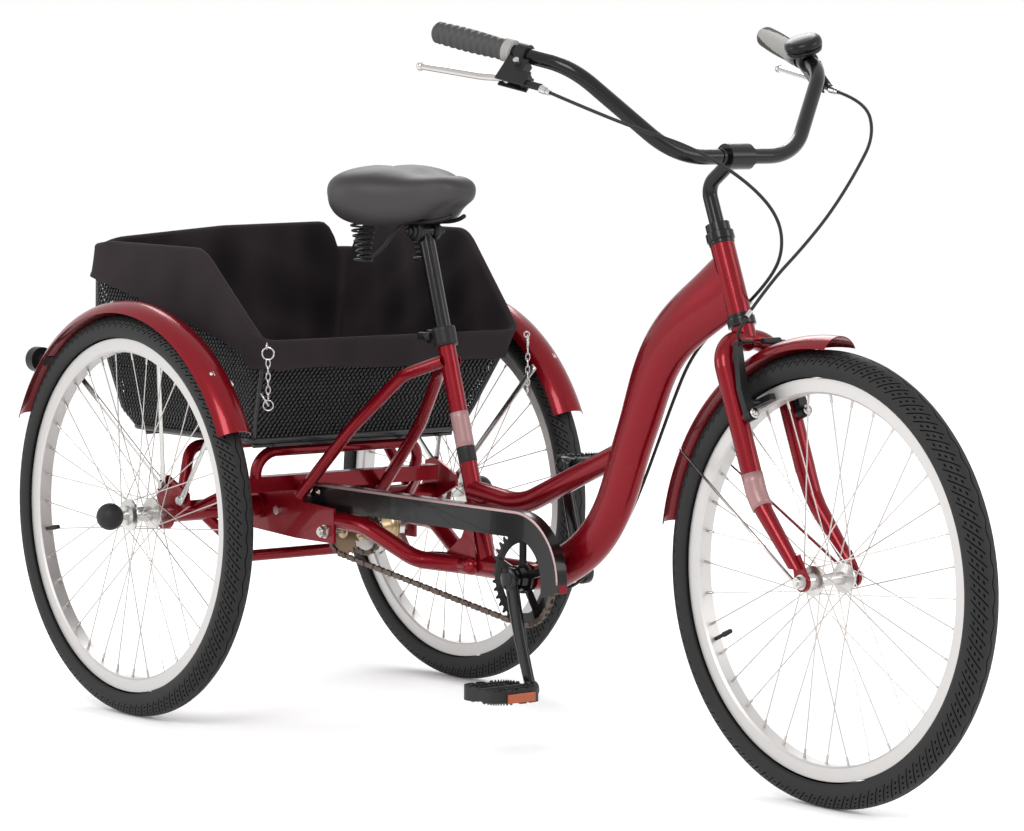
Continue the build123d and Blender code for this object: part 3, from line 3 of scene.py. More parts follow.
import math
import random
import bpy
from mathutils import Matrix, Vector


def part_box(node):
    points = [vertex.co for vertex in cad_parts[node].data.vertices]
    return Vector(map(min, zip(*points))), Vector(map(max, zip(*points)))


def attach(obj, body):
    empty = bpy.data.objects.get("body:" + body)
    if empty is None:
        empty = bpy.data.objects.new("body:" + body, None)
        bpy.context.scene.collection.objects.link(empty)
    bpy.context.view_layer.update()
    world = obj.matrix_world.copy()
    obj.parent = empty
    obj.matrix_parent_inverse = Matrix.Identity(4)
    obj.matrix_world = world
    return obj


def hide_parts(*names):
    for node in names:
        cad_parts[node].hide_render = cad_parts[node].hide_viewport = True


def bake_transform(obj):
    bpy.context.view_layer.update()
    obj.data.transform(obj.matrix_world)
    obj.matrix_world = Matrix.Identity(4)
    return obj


bl_info = {
    "name": "Tricycle dressing",
    "version": (1, 0, 0),
    "blender": (4, 5, 0),
    "location": "View3D > Sidebar > Tricycle",
    "description": "Builds the visible pieces of an adult tricycle on its solid model",
    "category": "Object",
}

import bmesh
import bpy
import numpy as np
from mathutils import Matrix, Vector

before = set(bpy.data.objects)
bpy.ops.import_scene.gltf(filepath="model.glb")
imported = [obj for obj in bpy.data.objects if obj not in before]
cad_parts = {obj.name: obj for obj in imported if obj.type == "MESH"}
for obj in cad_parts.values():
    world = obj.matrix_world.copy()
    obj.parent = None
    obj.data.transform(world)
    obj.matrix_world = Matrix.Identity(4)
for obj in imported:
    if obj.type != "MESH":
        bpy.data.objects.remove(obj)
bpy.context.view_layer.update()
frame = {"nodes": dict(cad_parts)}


def middle(node):
    """Centre of a node's box at rest."""
    low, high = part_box(node)
    return (low + high) / 2


FRONT_WHEEL = middle("front_rim")
RIGHT_WHEEL = middle("right_rim")
LEFT_WHEEL = middle("left_rim")
REAR = RIGHT_WHEEL.x
FRONT = FRONT_WHEEL.x
AXLE_Z = FRONT_WHEEL.z
TYRE_RADIUS = (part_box("front_tyre")[1].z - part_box("front_tyre")[0].z) / 2
TYRE_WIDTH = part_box("front_tyre")[1].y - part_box("front_tyre")[0].y
WHEELS = (("front", FRONT_WHEEL, "front_wheel"), ("right", RIGHT_WHEEL, "free_wheel"),
          ("left", LEFT_WHEEL, "driven_axle"))
CRANK = Vector((middle("cranks").x, 0, middle("cranks").z))
TRANSFER = Vector((middle("intermediate_hub").x, 0, middle("intermediate_hub").z))
CHAIN_PITCH = 0.0127


def at(ahead, left, up):
    """A point by its distance ahead of the rear axle, to the left and above the ground."""
    return Vector((REAR + ahead, left, up))


def sideways(left):
    """A step to the left."""
    return Vector((0, left, 0))


# ---------------------------------------------------------------- settings
def length(name, description, default, low=0.0, high=2.0):
    """A length setting in metres."""
    return bpy.props.FloatProperty(name=name, description=description, default=default, min=low, max=high,
                                   unit="LENGTH", subtype="DISTANCE", precision=4)


def colour(name, description, default):
    """A colour setting."""
    return bpy.props.FloatVectorProperty(name=name, description=description, default=default, size=3,
                                         min=0.0, max=1.0, subtype="COLOR")


def share(name, description, default):
    """A setting from 0 to 1."""
    return bpy.props.FloatProperty(name=name, description=description, default=default, min=0.0, max=1.0,
                                   subtype="FACTOR")


class TRIKE_PG_paint(bpy.types.PropertyGroup):
    """Colours of the painted and moulded parts."""
    frame: colour("Frame paint", "Colour of the frame, fork and fenders", (0.195, 0.0015, 0.0075))
    black: colour("Black paint", "Colour of the black metal parts", (0.0045, 0.0042, 0.0045))
    rubber: colour("Rubber", "Colour of the tyres", (0.017, 0.0165, 0.0165))
    grip_dark: colour("Grip", "Colour of the grips' finger side", (0.034, 0.033, 0.034))
    grip_light: colour("Grip palm", "Colour of the grips' palm side", (0.25, 0.24, 0.23))
    fabric: colour("Liner", "Colour of the basket liner", (0.030, 0.023, 0.0255))
    gloss: share("Coat", "Strength of the clear coat on the paint", 0.28)


class TRIKE_PG_tyre(bpy.types.PropertyGroup):
    """Tread of the tyres."""
    cells: bpy.props.IntProperty(name="Tread cells", description="Tread patterns round a tyre", default=114,
                                 min=20, max=300)
    segments: bpy.props.IntProperty(name="Segments", description="Facets round a tyre", default=192, min=48,
                                    max=400)


class TRIKE_PG_chain(bpy.types.PropertyGroup):
    """Sizes of the chain links."""
    pitch: length("Pitch", "Distance between chain pins", CHAIN_PITCH, 0.005, 0.03)
    plate: length("Plate height", "Height of a chain's side plates", 0.0085, 0.004, 0.02)
    width: length("Chain width", "Over the side plates", 0.0076, 0.004, 0.02)


class TRIKE_PG_basket(bpy.types.PropertyGroup):
    """Weave and liner of the basket."""
    strand: length("Strand spacing", "Spacing of the woven strands", 0.0085, 0.004, 0.03)
    cuff: length("Cuff", "How far the liner hangs down outside the rim", 0.060, 0.02, 0.15)
    wrinkle: length("Wrinkle", "Depth of the liner's folds", 0.014, 0.0, 0.03)


class TRIKE_PG_saddle(bpy.types.PropertyGroup):
    """Springs of the saddle."""
    coils: bpy.props.IntProperty(name="Coils", description="Turns of each saddle spring", default=7, min=2,
                                 max=12)
    wire: length("Spring wire", "Radius of the spring wire", 0.0018, 0.001, 0.006)


GROUPS = (("paint", TRIKE_PG_paint), ("tyre", TRIKE_PG_tyre), ("chain", TRIKE_PG_chain),
          ("basket", TRIKE_PG_basket), ("saddle", TRIKE_PG_saddle))


def settings(name):
    """A group of settings by its short name."""
    return getattr(bpy.context.scene, "trike_" + name)


# ---------------------------------------------------------------- materials
def node(tree, kind, **values):
    """A shader or geometry node with its named inputs or properties set."""
    made = tree.nodes.new(kind)
    for name, value in values.items():
        if hasattr(made, name):
            setattr(made, name, value)
        else:
            made.inputs[name.replace("_", " ")].default_value = value
    return made


def link(tree, source, target):
    """Joins two sockets of a node tree."""
    tree.links.new(source, target)


def maths(tree, operation, first, second=None, third=None):
    """A Math node fed by sockets or numbers; returns its output."""
    made = tree.nodes.new("ShaderNodeMath")
    made.operation = operation
    for socket, value in zip(made.inputs, (first, second, third)):
        if value is None:
            continue
        if isinstance(value, (int, float)):
            socket.default_value = value
        else:
            tree.links.new(value, socket)
    return made.outputs[0]


def blend_colour(tree, factor, first, second):
    """Mix two colours by a factor socket; returns the colour output."""
    made = tree.nodes.new("ShaderNodeMix")
    made.data_type = "RGBA"
    sockets = [socket for socket in made.inputs if socket.type == "RGBA"]
    link(tree, factor, made.inputs[0])
    for socket, value in zip(sockets, (first, second)):
        if hasattr(value, "is_linked"):
            link(tree, value, socket)
        else:
            socket.default_value = (*value, 1.0)
    return [socket for socket in made.outputs if socket.type == "RGBA"][0]


def material(name, base, metallic=0.0, roughness=0.5, coat=0.0, grain=900.0, grain_depth=0.02, mottle=9.0,
             darker=0.85, specular=0.5, rough_spread=0.06):
    """A procedural surface on object coordinates: mottled colour, uneven roughness and a fine grain."""
    made = bpy.data.materials.new(name)
    made.use_nodes = True
    tree = made.node_tree
    shader = tree.nodes["Principled BSDF"]
    shader.inputs["Metallic"].default_value = metallic
    shader.inputs["Coat Weight"].default_value = coat
    shader.inputs["Coat Roughness"].default_value = 0.04
    shader.inputs["Specular IOR Level"].default_value = specular
    where = node(tree, "ShaderNodeTexCoord").outputs["Object"]
    cloud = node(tree, "ShaderNodeTexNoise", Scale=mottle, Detail=3.0)
    link(tree, where, cloud.inputs["Vector"])
    tint = blend_colour(tree, cloud.outputs["Fac"], [channel * darker for channel in base], base)
    link(tree, tint, shader.inputs["Base Color"])
    uneven = maths(tree, "MULTIPLY_ADD", cloud.outputs["Fac"], 2 * rough_spread, roughness - rough_spread)
    link(tree, uneven, shader.inputs["Roughness"])
    fine = node(tree, "ShaderNodeTexNoise", Scale=grain, Detail=2.0)
    link(tree, where, fine.inputs["Vector"])
    bump = node(tree, "ShaderNodeBump", Strength=grain_depth, Distance=0.001)
    link(tree, fine.outputs["Fac"], bump.inputs["Height"])
    link(tree, bump.outputs["Normal"], shader.inputs["Normal"])
    return made


def add_height(made, height, strength, distance):
    """Adds a relief on top of a material's own grain."""
    tree = made.node_tree
    shader = tree.nodes["Principled BSDF"]
    below = shader.inputs["Normal"].links[0].from_socket
    bump = node(tree, "ShaderNodeBump", Strength=strength, Distance=distance)
    link(tree, height, bump.inputs["Height"])
    link(tree, below, bump.inputs["Normal"])
    link(tree, bump.outputs["Normal"], shader.inputs["Normal"])


def shade_colour(made, factor, second):
    """Mixes another colour over a material's base colour by a factor socket."""
    tree = made.node_tree
    shader = tree.nodes["Principled BSDF"]
    below = shader.inputs["Base Color"].links[0].from_socket
    link(tree, blend_colour(tree, factor, below, second), shader.inputs["Base Color"])


def tyre_material():
    """Rubber with a smooth side wall and a tread of slanted dashes, dots and a wavy middle groove."""
    made = material("tyre_rubber", settings("paint").rubber, roughness=0.6, grain_depth=0.06, grain=700.0,
                    specular=0.22)
    tree = made.node_tree
    uv = node(tree, "ShaderNodeSeparateXYZ")
    link(tree, node(tree, "ShaderNodeUVMap").outputs["UV"], uv.inputs["Vector"])
    around, over = uv.outputs["X"], uv.outputs["Y"]
    side = maths(tree, "ABSOLUTE", over)
    phase = maths(tree, "MULTIPLY_ADD", side, -1.8, around)
    cell = maths(tree, "FRACT", phase)
    near_line = maths(tree, "LESS_THAN", maths(tree, "ABSOLUTE", maths(tree, "SUBTRACT", cell, 0.30)), 0.07)
    dash_end = maths(tree, "LESS_THAN", maths(tree, "ABSOLUTE", maths(tree, "SUBTRACT", side, 0.70)), 0.42)
    dash = maths(tree, "MULTIPLY", near_line, dash_end)
    dots = None
    for across in (0.48, 0.70, 0.92):
        dx = maths(tree, "MULTIPLY", maths(tree, "SUBTRACT", cell, 0.80), 0.62)
        dy = maths(tree, "MULTIPLY", maths(tree, "SUBTRACT", side, across), 1.7)
        gap = maths(tree, "SQRT",
                    maths(tree, "ADD", maths(tree, "MULTIPLY", dx, dx), maths(tree, "MULTIPLY", dy, dy)))
        dot = maths(tree, "LESS_THAN", gap, 0.085)
        dots = dot if dots is None else maths(tree, "MAXIMUM", dots, dot)
    wave = maths(tree, "MULTIPLY", maths(tree, "SINE", maths(tree, "MULTIPLY", around, math.pi)), 0.055)
    groove = maths(tree, "LESS_THAN", maths(tree, "ABSOLUTE", maths(tree, "SUBTRACT", over, wave)), 0.028)
    cut = maths(tree, "MAXIMUM", maths(tree, "MAXIMUM", dash, dots), groove)
    height = maths(tree, "SUBTRACT", 1.0, cut)
    add_height(made, height, 0.9, 0.0015)
    # Painted shade: the tread's cuts are coloured near black.
    shade_colour(made, cut, (0.002, 0.002, 0.002))
    shine = maths(tree, "MULTIPLY_ADD", cut, -0.20, 0.22)
    link(tree, shine, tree.nodes["Principled BSDF"].inputs["Specular IOR Level"])
    return made


def weave_material():
    """Black woven strands with a slight shine."""
    return material("weave", (0.016, 0.016, 0.018), roughness=0.42, grain=400.0, grain_depth=0.15,
                    mottle=40.0, darker=0.5)


def fabric_material():
    """Woven polyester: fine crossed threads, with painted shade in the hollows of its folds."""
    # The broad mottle, down to 0.6 of the base colour, is painted shade standing in for the shading of the
    # liner's folds.
    made = material("liner_fabric", settings("paint").fabric, roughness=0.85, grain=1500.0, grain_depth=0.1,
                    mottle=5.0, darker=0.6, specular=0.12)
    tree = made.node_tree
    where = node(tree, "ShaderNodeTexCoord").outputs["Object"]
    parts = node(tree, "ShaderNodeSeparateXYZ")
    link(tree, where, parts.inputs["Vector"])
    along = maths(tree, "ADD", parts.outputs["X"], parts.outputs["Y"])
    flat = maths(tree, "SINE", maths(tree, "MULTIPLY", along, 3600.0))
    tall = maths(tree, "SINE", maths(tree, "MULTIPLY", parts.outputs["Z"], 3600.0))
    add_height(made, maths(tree, "MULTIPLY", flat, tall), 0.25, 0.0004)
    # Painted shade: the liner's per-point attribute darkens the hollows of the folds towards near black.
    fold_shade_mask = node(tree, "ShaderNodeAttribute", attribute_name="painted_fold_shade").outputs["Fac"]
    shade_colour(made, fold_shade_mask, (0.0015, 0.001, 0.0012))
    return made


PALM_TURN = 0.84
GRIP_ROWS, GRIP_COLUMNS = 70, 32
GRIP_END = Vector((FRONT - 0.498, -0.321, 1.098))


def grip_material():
    """Two-tone grip: dark fingers, light palm, split along the grip by its UV map."""
    made = material("grip_rubber", settings("paint").grip_dark, roughness=0.6, grain=1200.0,
                    grain_depth=0.08)
    tree = made.node_tree
    uv = node(tree, "ShaderNodeSeparateXYZ")
    link(tree, node(tree, "ShaderNodeUVMap").outputs["UV"], uv.inputs["Vector"])
    turn = maths(tree, "MULTIPLY", maths(tree, "SUBTRACT", uv.outputs["X"], PALM_TURN), 2 * math.pi)
    reach = maths(tree, "MULTIPLY_ADD", uv.outputs["Y"], -0.7, 0.95)
    palm = maths(tree, "GREATER_THAN", maths(tree, "COSINE", turn), reach)
    collar = maths(tree, "GREATER_THAN", uv.outputs["Y"], 0.90)
    shade_colour(made, maths(tree, "MAXIMUM", palm, collar), settings("paint").grip_light)
    return made


def cover_material():
    """Padded saddle cover: smooth sides, and a finely pierced top darkened by painted shade where it faces
    up.
    """
    made = material("saddle_cover", (0.040, 0.0375, 0.037), roughness=0.50, grain=520.0, grain_depth=0.16,
                    mottle=14.0, darker=0.85, specular=0.3)
    # Painted shade: the upward-facing top is mixed towards a darker colour.
    painted_top_shade = node(made.node_tree, "ShaderNodeAttribute", attribute_name="painted_top_shade")
    shade_colour(made, painted_top_shade.outputs["Fac"], (0.022, 0.0200, 0.0195))
    return made


def make_materials():
    """Every material of the tricycle, by name."""
    paint = settings("paint")
    return {
        "red": material("candy_red", paint.frame, metallic=0.5, roughness=0.27, coat=paint.gloss,
                        grain=2600.0, grain_depth=0.05, mottle=3.0, darker=0.8, specular=0.15,
                        rough_spread=0.03),
        "black": material("black_gloss", paint.black, roughness=0.22, coat=0.22, grain_depth=0.01,
                          mottle=5.0, specular=0.2),
        "satin_black": material("satin_black", (0.009, 0.009, 0.010), roughness=0.42, grain_depth=0.05,
                                specular=0.25),
        "bell": material("bell_enamel", (0.008, 0.008, 0.009), roughness=0.30, coat=0.05, grain_depth=0.01,
                         specular=0.2),
        "plastic": material("black_plastic", (0.012, 0.012, 0.013), roughness=0.48, grain=1400.0,
                            grain_depth=0.12, specular=0.28),
        "rim": material("satin_rim", (0.55, 0.535, 0.525), metallic=0.75, roughness=0.46, grain_depth=0.02,
                        darker=0.95),
        "steel": material("zinc_steel", (0.62, 0.61, 0.59), metallic=1.0, roughness=0.30, mottle=60.0),
        "spoke": material("stainless", (0.56, 0.53, 0.51), metallic=1.0, roughness=0.28, mottle=30.0),
        "chrome": material("polished_alloy", (0.56, 0.54, 0.53), metallic=1.0, roughness=0.17, mottle=20.0),
        "zinc": material("yellow_zinc", (0.60, 0.45, 0.26), metallic=1.0, roughness=0.34, mottle=40.0,
                         darker=0.7),
        "bronze": material("bronze_cog", (0.25, 0.17, 0.11), metallic=1.0, roughness=0.42, mottle=60.0,
                           darker=0.7),
        "chain": material("chain_steel", (0.17, 0.13, 0.11), metallic=0.9, roughness=0.42, mottle=120.0,
                          darker=0.6),
        "tyre": tyre_material(),
        "rubber": material("cap_rubber", (0.015, 0.015, 0.016), roughness=0.55, grain_depth=0.05,
                           specular=0.25),
        "grip": grip_material(),
        "weave": weave_material(),
        "fabric": fabric_material(),
        "cover": cover_material(),
        "orange": material("orange_reflector", (0.34, 0.055, 0.003), roughness=0.2, coat=0.3, grain=500.0,
                           grain_depth=0.3),
        "red_lens": material("red_reflector", (0.55, 0.01, 0.01), roughness=0.15, coat=0.8, grain=500.0,
                             grain_depth=0.3),
        "band": material("clear_band", (0.30, 0.16, 0.16), metallic=0.2, roughness=0.35, grain=700.0,
                         grain_depth=0.1),
        "trim": material("pale_trim", (0.50, 0.33, 0.33), metallic=0.4, roughness=0.3),
    }


MATERIALS = {}

CAD_FINISH = {
    "red": ("head_tube", "main_tube", "keel_tube", "seat_tube", "brace_tube", "chain_stays",
            "axle_housings", "carriage", "seat_stays", "carriage_hoops", "rear_fender_right",
            "rear_fender_left", "front_fender", "fork"),
    "black": ("stem", "handlebar", "seat_post", "chainring", "chain_guard", "bell_lever"),
    "satin_black": ("brake_arm_right", "brake_arm_left", "rear_reflectors", "lever_clamps"),
    "rim": ("front_rim", "right_rim", "left_rim"),
    "spoke": ("front_spokes", "right_spokes", "left_spokes"),
    "steel": ("front_hub", "right_hub", "left_hub", "frame_fittings", "rear_axle", "front_axle",
              "fender_stays"),
    "chrome": ("brake_lever_right", "brake_lever_left", "lock_plunger_right", "lock_plunger_left"),
    "rubber": ("hub_caps",),
}


# ---------------------------------------------------------------- mesh helpers
def object_from(mesh, name, smooth=True):
    """An object in the scene that shows a mesh."""
    made = bpy.data.objects.new(name, mesh)
    bpy.context.scene.collection.objects.link(made)
    if smooth:
        mesh.polygons.foreach_set("use_smooth", [True] * len(mesh.polygons))
    return made


def mesh_from(name, points, faces):
    """A mesh from plain lists of points and faces."""
    mesh = bpy.data.meshes.new(name)
    mesh.from_pydata([tuple(point) for point in points], [], faces)
    mesh.update()
    return mesh


def grid_faces(rows, columns, wrap_rows=False, wrap_columns=False):
    """Quads of a grid of points stored row by row."""
    faces = []
    for row in range(rows if wrap_rows else rows - 1):
        for column in range(columns if wrap_columns else columns - 1):
            down, right = (row + 1) % rows, (column + 1) % columns
            faces.append((row * columns + column, row * columns + right, down * columns + right,
                          down * columns + column))
    return faces


def outward(mesh, merge=True):
    """Makes a closed mesh's faces point outwards, after merging its double points if asked."""
    work = bmesh.new()
    work.from_mesh(mesh)
    if merge:
        bmesh.ops.remove_doubles(work, verts=work.verts, dist=1e-6)
    bmesh.ops.recalc_face_normals(work, faces=work.faces)
    work.to_mesh(mesh)
    work.free()


def frames_along(points, closed=False):
    """Side and up at each point of a path, with little twist."""
    count = len(points)
    tangents = []
    for index in range(count):
        before = points[index - 1] if index or closed else points[index]
        after = points[(index + 1) % count] if index < count - 1 or closed else points[index]
        tangents.append((after - before).normalized())
    seed = Vector((0, 0, 1)) if abs(tangents[0].z) < 0.9 else Vector((1, 0, 0))
    side = seed.cross(tangents[0]).normalized()
    result = []
    for tangent in tangents:
        side = (side - tangent * side.dot(tangent)).normalized()
        result.append((side, tangent.cross(side)))
    return result


def turns_of(count):
    """Evenly spaced angles of a whole turn."""
    return [2 * math.pi * number / count for number in range(count)]


def squarish(value, power):
    """A sine or cosine pushed outwards, which turns a circle into a rounded square."""
    return math.copysign(abs(value) ** power, value)


def on_circle(centre, radius, angle, y=0.0):
    """A point round a cross axis, at an angle that turns from +X towards +Z."""
    return Vector((centre.x + radius * math.cos(angle), y, centre.z + radius * math.sin(angle)))


def ring_of(centre, side, up, half, tall, sides):
    """Points of an oval ring, with its half sizes along side and up."""
    return [centre + side * (half * math.cos(angle)) + up * (tall * math.sin(angle))
            for angle in turns_of(sides)]


def tube_faces(rows, sides):
    """Faces of a tube made of rings of points, with both ends closed."""
    faces = grid_faces(rows, sides, wrap_columns=True)
    return faces + [tuple(range(sides)), tuple(range(rows * sides - 1, (rows - 1) * sides - 1, -1))]


def tube_mesh(name, points, radius, sides=14, closed=False, flatten=1.0):
    """A round tube along points; radius may be one number or one for each point."""
    radii = [radius] * len(points) if isinstance(radius, (int, float)) else radius
    rings = []
    for point, reach, (side, up) in zip(points, radii, frames_along(points, closed)):
        rings += ring_of(point, side, up, reach, reach * flatten, sides)
    faces = (grid_faces(len(points), sides, wrap_rows=True, wrap_columns=True) if closed
             else tube_faces(len(points), sides))
    mesh = mesh_from(name, rings, faces)
    outward(mesh)
    return mesh


def smooth_path(points, steps=12):
    """Points read from a smooth spline whose control points are the given ones."""
    curve = bpy.data.curves.new("route", "CURVE")
    curve.dimensions = "3D"
    curve.resolution_u = steps
    spline = curve.splines.new("NURBS")
    spline.points.add(len(points) - 1)
    for place, point in zip(spline.points, points):
        place.co = (*point, 1.0)
    spline.order_u = 3
    spline.use_endpoint_u = True
    holder = bpy.data.objects.new("route", curve)
    mesh = bpy.data.meshes.new_from_object(holder)
    path = [vertex.co.copy() for vertex in mesh.vertices]
    bpy.data.meshes.remove(mesh)
    bpy.data.objects.remove(holder)
    bpy.data.curves.remove(curve)
    return path


def box_into(work, centre, size, bevel):
    """Adds a bevelled box to a bmesh."""
    matrix = Matrix.Translation(centre) @ Matrix.Diagonal((*size, 1.0))
    made = bmesh.ops.create_cube(work, size=1.0, matrix=matrix)
    edges = list(dict.fromkeys(edge for vertex in made["verts"] for edge in vertex.link_edges))
    bmesh.ops.bevel(work, geom=edges, offset=bevel, segments=2, affect="EDGES", profile=0.6)


def cylinder_into(work, start, end, radius, sides=20, end_radius=None):
    """Adds a capped cylinder or cone between two points to a bmesh."""
    way = end - start
    turn = way.to_track_quat("Z", "Y").to_matrix().to_4x4()
    matrix = Matrix.Translation((start + end) / 2) @ turn
    bmesh.ops.create_cone(work, cap_ends=True, segments=sides, radius1=radius,
                          radius2=radius if end_radius is None else end_radius, depth=way.length,
                          matrix=matrix)


def mesh_of(work, name):
    """A mesh from a bmesh, which is used up."""
    mesh = bpy.data.meshes.new(name)
    work.to_mesh(mesh)
    work.free()
    return mesh


def join_meshes(name, meshes):
    """One mesh from several."""
    work = bmesh.new()
    for mesh in meshes:
        work.from_mesh(mesh)
        bpy.data.meshes.remove(mesh)
    return mesh_of(work, name)


def add_piece(name, parts, body, finish, stands_for=(), smooth=True):
    """A finished piece from a mesh, several meshes or a bmesh, with the nodes that it stands for."""
    if isinstance(parts, list):
        parts = join_meshes(name, parts)
    elif isinstance(parts, bmesh.types.BMesh):
        parts = mesh_of(parts, name)
    made = object_from(parts, name, smooth)
    made.data.materials.clear()
    made.data.materials.append(MATERIALS[finish])
    if body:
        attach(made, body)
    if stands_for:
        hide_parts(*stands_for)
    return made


def lathe(name, profile, centre, segments):
    """A ring of revolution about a cross axis; profile is (radius, sideways) pairs, closed."""
    points = []
    for step in range(segments):
        angle = 2 * math.pi * step / segments
        for radius, sideways in profile:
            points.append(centre + Vector((radius * math.cos(angle), sideways, radius * math.sin(angle))))
    return mesh_from(name, points, grid_faces(segments, len(profile), wrap_rows=True, wrap_columns=True))


# ---------------------------------------------------------------- repeated shapes
def repeat_tree():
    """Geometry nodes that set a template on every point, turned by the point's own angles."""
    tree = bpy.data.node_groups.new("repeat_on_points", "GeometryNodeTree")
    ports = tree.interface
    ports.new_socket("Geometry", in_out="INPUT", socket_type="NodeSocketGeometry")
    ports.new_socket("Template", in_out="INPUT", socket_type="NodeSocketObject")
    ports.new_socket("Size", in_out="INPUT", socket_type="NodeSocketFloat")
    ports.new_socket("Finish", in_out="INPUT", socket_type="NodeSocketMaterial")
    ports.new_socket("Geometry", in_out="OUTPUT", socket_type="NodeSocketGeometry")
    start = tree.nodes.new("NodeGroupInput")
    end = tree.nodes.new("NodeGroupOutput")
    template = node(tree, "GeometryNodeObjectInfo", transform_space="ORIGINAL")
    angles = node(tree, "GeometryNodeInputNamedAttribute", data_type="FLOAT_VECTOR")
    angles.inputs["Name"].default_value = "turn"
    rotation = tree.nodes.new("FunctionNodeEulerToRotation")
    placed = tree.nodes.new("GeometryNodeInstanceOnPoints")
    real = tree.nodes.new("GeometryNodeRealizeInstances")
    finish = tree.nodes.new("GeometryNodeSetMaterial")
    link(tree, start.outputs["Template"], template.inputs["Object"])
    link(tree, start.outputs["Geometry"], placed.inputs["Points"])
    link(tree, template.outputs["Geometry"], placed.inputs["Instance"])
    link(tree, angles.outputs["Attribute"], rotation.inputs[0])
    link(tree, rotation.outputs[0], placed.inputs["Rotation"])
    link(tree, start.outputs["Size"], placed.inputs["Scale"])
    link(tree, placed.outputs["Instances"], real.inputs["Geometry"])
    link(tree, real.outputs["Geometry"], finish.inputs["Geometry"])
    link(tree, start.outputs["Finish"], finish.inputs["Material"])
    link(tree, finish.outputs["Geometry"], end.inputs["Geometry"])
    return tree


def facing(ahead, up):
    """Euler angles that carry X to ahead and Z to up."""
    ahead = ahead.normalized()
    side = up.cross(ahead).normalized()
    up = ahead.cross(side)
    return Matrix((ahead, side, up)).transposed().to_euler()


def repeated(name, places, template, finish, size=1.0, smooth=True):
    """One plain mesh: the template on every (point, ahead, up)."""
    seeds = mesh_from(name + "_points", [place for place, _, _ in places], [])
    turns = seeds.attributes.new("turn", "FLOAT_VECTOR", "POINT")
    turns.data.foreach_set("vector", [angle for _, ahead, up in places for angle in facing(ahead, up)])
    carrier = object_from(seeds, name + "_carrier", smooth=False)
    pattern = object_from(template, name + "_template", smooth=smooth)
    modifier = carrier.modifiers.new("repeat", "NODES")
    tree = bpy.data.node_groups.get("repeat_on_points") or repeat_tree()
    modifier.node_group = tree
    values = {"Template": pattern, "Size": size, "Finish": MATERIALS[finish]}
    for item in tree.interface.items_tree:
        if item.in_out == "INPUT" and item.name in values:
            modifier[item.identifier] = values[item.name]
    bpy.context.view_layer.update()
    graph = bpy.context.evaluated_depsgraph_get()
    mesh = bpy.data.meshes.new_from_object(carrier.evaluated_get(graph), depsgraph=graph)
    carrier.modifiers.clear()
    for old in (carrier, pattern):
        bpy.data.objects.remove(old)
    if not mesh.polygons:
        raise RuntimeError(name + " came out empty")
    if "turn" in mesh.attributes:
        mesh.attributes.remove(mesh.attributes["turn"])
    return mesh


# ---------------------------------------------------------------- tyres
def tyre_section():
    """Half widths and radii round a tyre's section, with a tread share from -1 to 1 on the outer part."""
    half = TYRE_WIDTH / 2
    centre = TYRE_RADIUS - half
    points = []
    for step in range(25):
        share = -1 + 2 * step / 24
        angle = share * math.radians(128)
        flat = 1.0 + 0.015 * math.cos(angle) ** 8
        points.append((centre + half * flat * math.cos(angle) - 0.015 * half, half * math.sin(angle),
                       1.72 * share))
    for step in range(7):
        angle = math.radians(140) - math.radians(280) * step / 6
        points.append((centre + half * 0.72 * math.cos(angle), half * 0.72 * math.sin(angle), 3.0))
    return points


def make_tyres():
    """Three tyres with their tread pattern mapped round them."""
    values = settings("tyre")
    section = tyre_section()
    for name, centre, body in WHEELS:
        mesh = lathe(name + "_tyre_skin", [(radius, side) for radius, side, _ in section], centre,
                     values.segments)
        layer = mesh.uv_layers.new(name="tread")
        count = len(section)
        for face in mesh.polygons:
            steps = [mesh.loops[loop].vertex_index // count for loop in face.loop_indices]
            wraps = max(steps) - min(steps) > 1
            for loop, step in zip(face.loop_indices, steps):
                around = values.segments if wraps and step == 0 else step
                over = section[mesh.loops[loop].vertex_index % count][2]
                layer.data[loop].uv = (around * values.cells / values.segments, over)
        outward(mesh, merge=False)
        add_piece(name + "_tyre_skin", mesh, body, "tyre", (name + "_tyre",))


def make_valves():
    """A valve stem with its cap on each rim."""
    for number, (name, centre, body) in enumerate(WHEELS):
        angle = math.radians((205, 190, 150)[number])
        way = Vector((math.cos(angle), 0, math.sin(angle)))
        work = bmesh.new()
        cylinder_into(work, centre + way * 0.272, centre + way * 0.236, 0.003, 12)
        cylinder_into(work, centre + way * 0.244, centre + way * 0.228, 0.0042, 12, 0.0036)
        add_piece(name + "_valve", work, body, "rubber")


# ---------------------------------------------------------------- chains
RING_TEETH, COG_TEETH = 36, 20


def pitch_radius(teeth):
    """Radius of the circle that a chain's pins follow round a sprocket."""
    return CHAIN_PITCH / 2 / math.sin(math.pi / teeth)


def chain_planes():
    """Places across the tricycle of the chain from the ring and of the chain to the axle."""
    low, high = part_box("chains")
    return low.y + 0.0029, high.y - 0.0029


def belt_line(first, first_radius, second, second_radius, y):
    """Dense points round a chain's loop over two sprockets."""
    gap = second - first
    heading = math.atan2(gap.z, gap.x)
    opening = math.asin((first_radius - second_radius) / gap.length)
    points = []

    def arc(centre, radius, start, end, count):
        """Adds points round one sprocket."""
        for step in range(count):
            angle = start + (end - start) * step / count
            points.append(on_circle(centre, radius, angle, y))

    top, low = heading + math.pi / 2 - opening, heading - math.pi / 2 + opening
    arc(first, first_radius, top, low + 2 * math.pi, 120)
    points.append(on_circle(first, first_radius, low, y))
    arc(second, second_radius, low, top, 120)
    points.append(on_circle(second, second_radius, top, y))
    return points


def spaced(points, count):
    """Evenly spaced points round a closed line, and its length."""
    line = np.array(points + points[:1])
    reach = np.concatenate([[0], np.cumsum(np.linalg.norm(np.diff(line, axis=0), axis=1))])
    wanted = np.linspace(0, reach[-1], count, endpoint=False)
    return [Vector(place) for place in zip(*(np.interp(wanted, reach,
                                                       line[:, axis]) for axis in range(3)))], reach[-1]


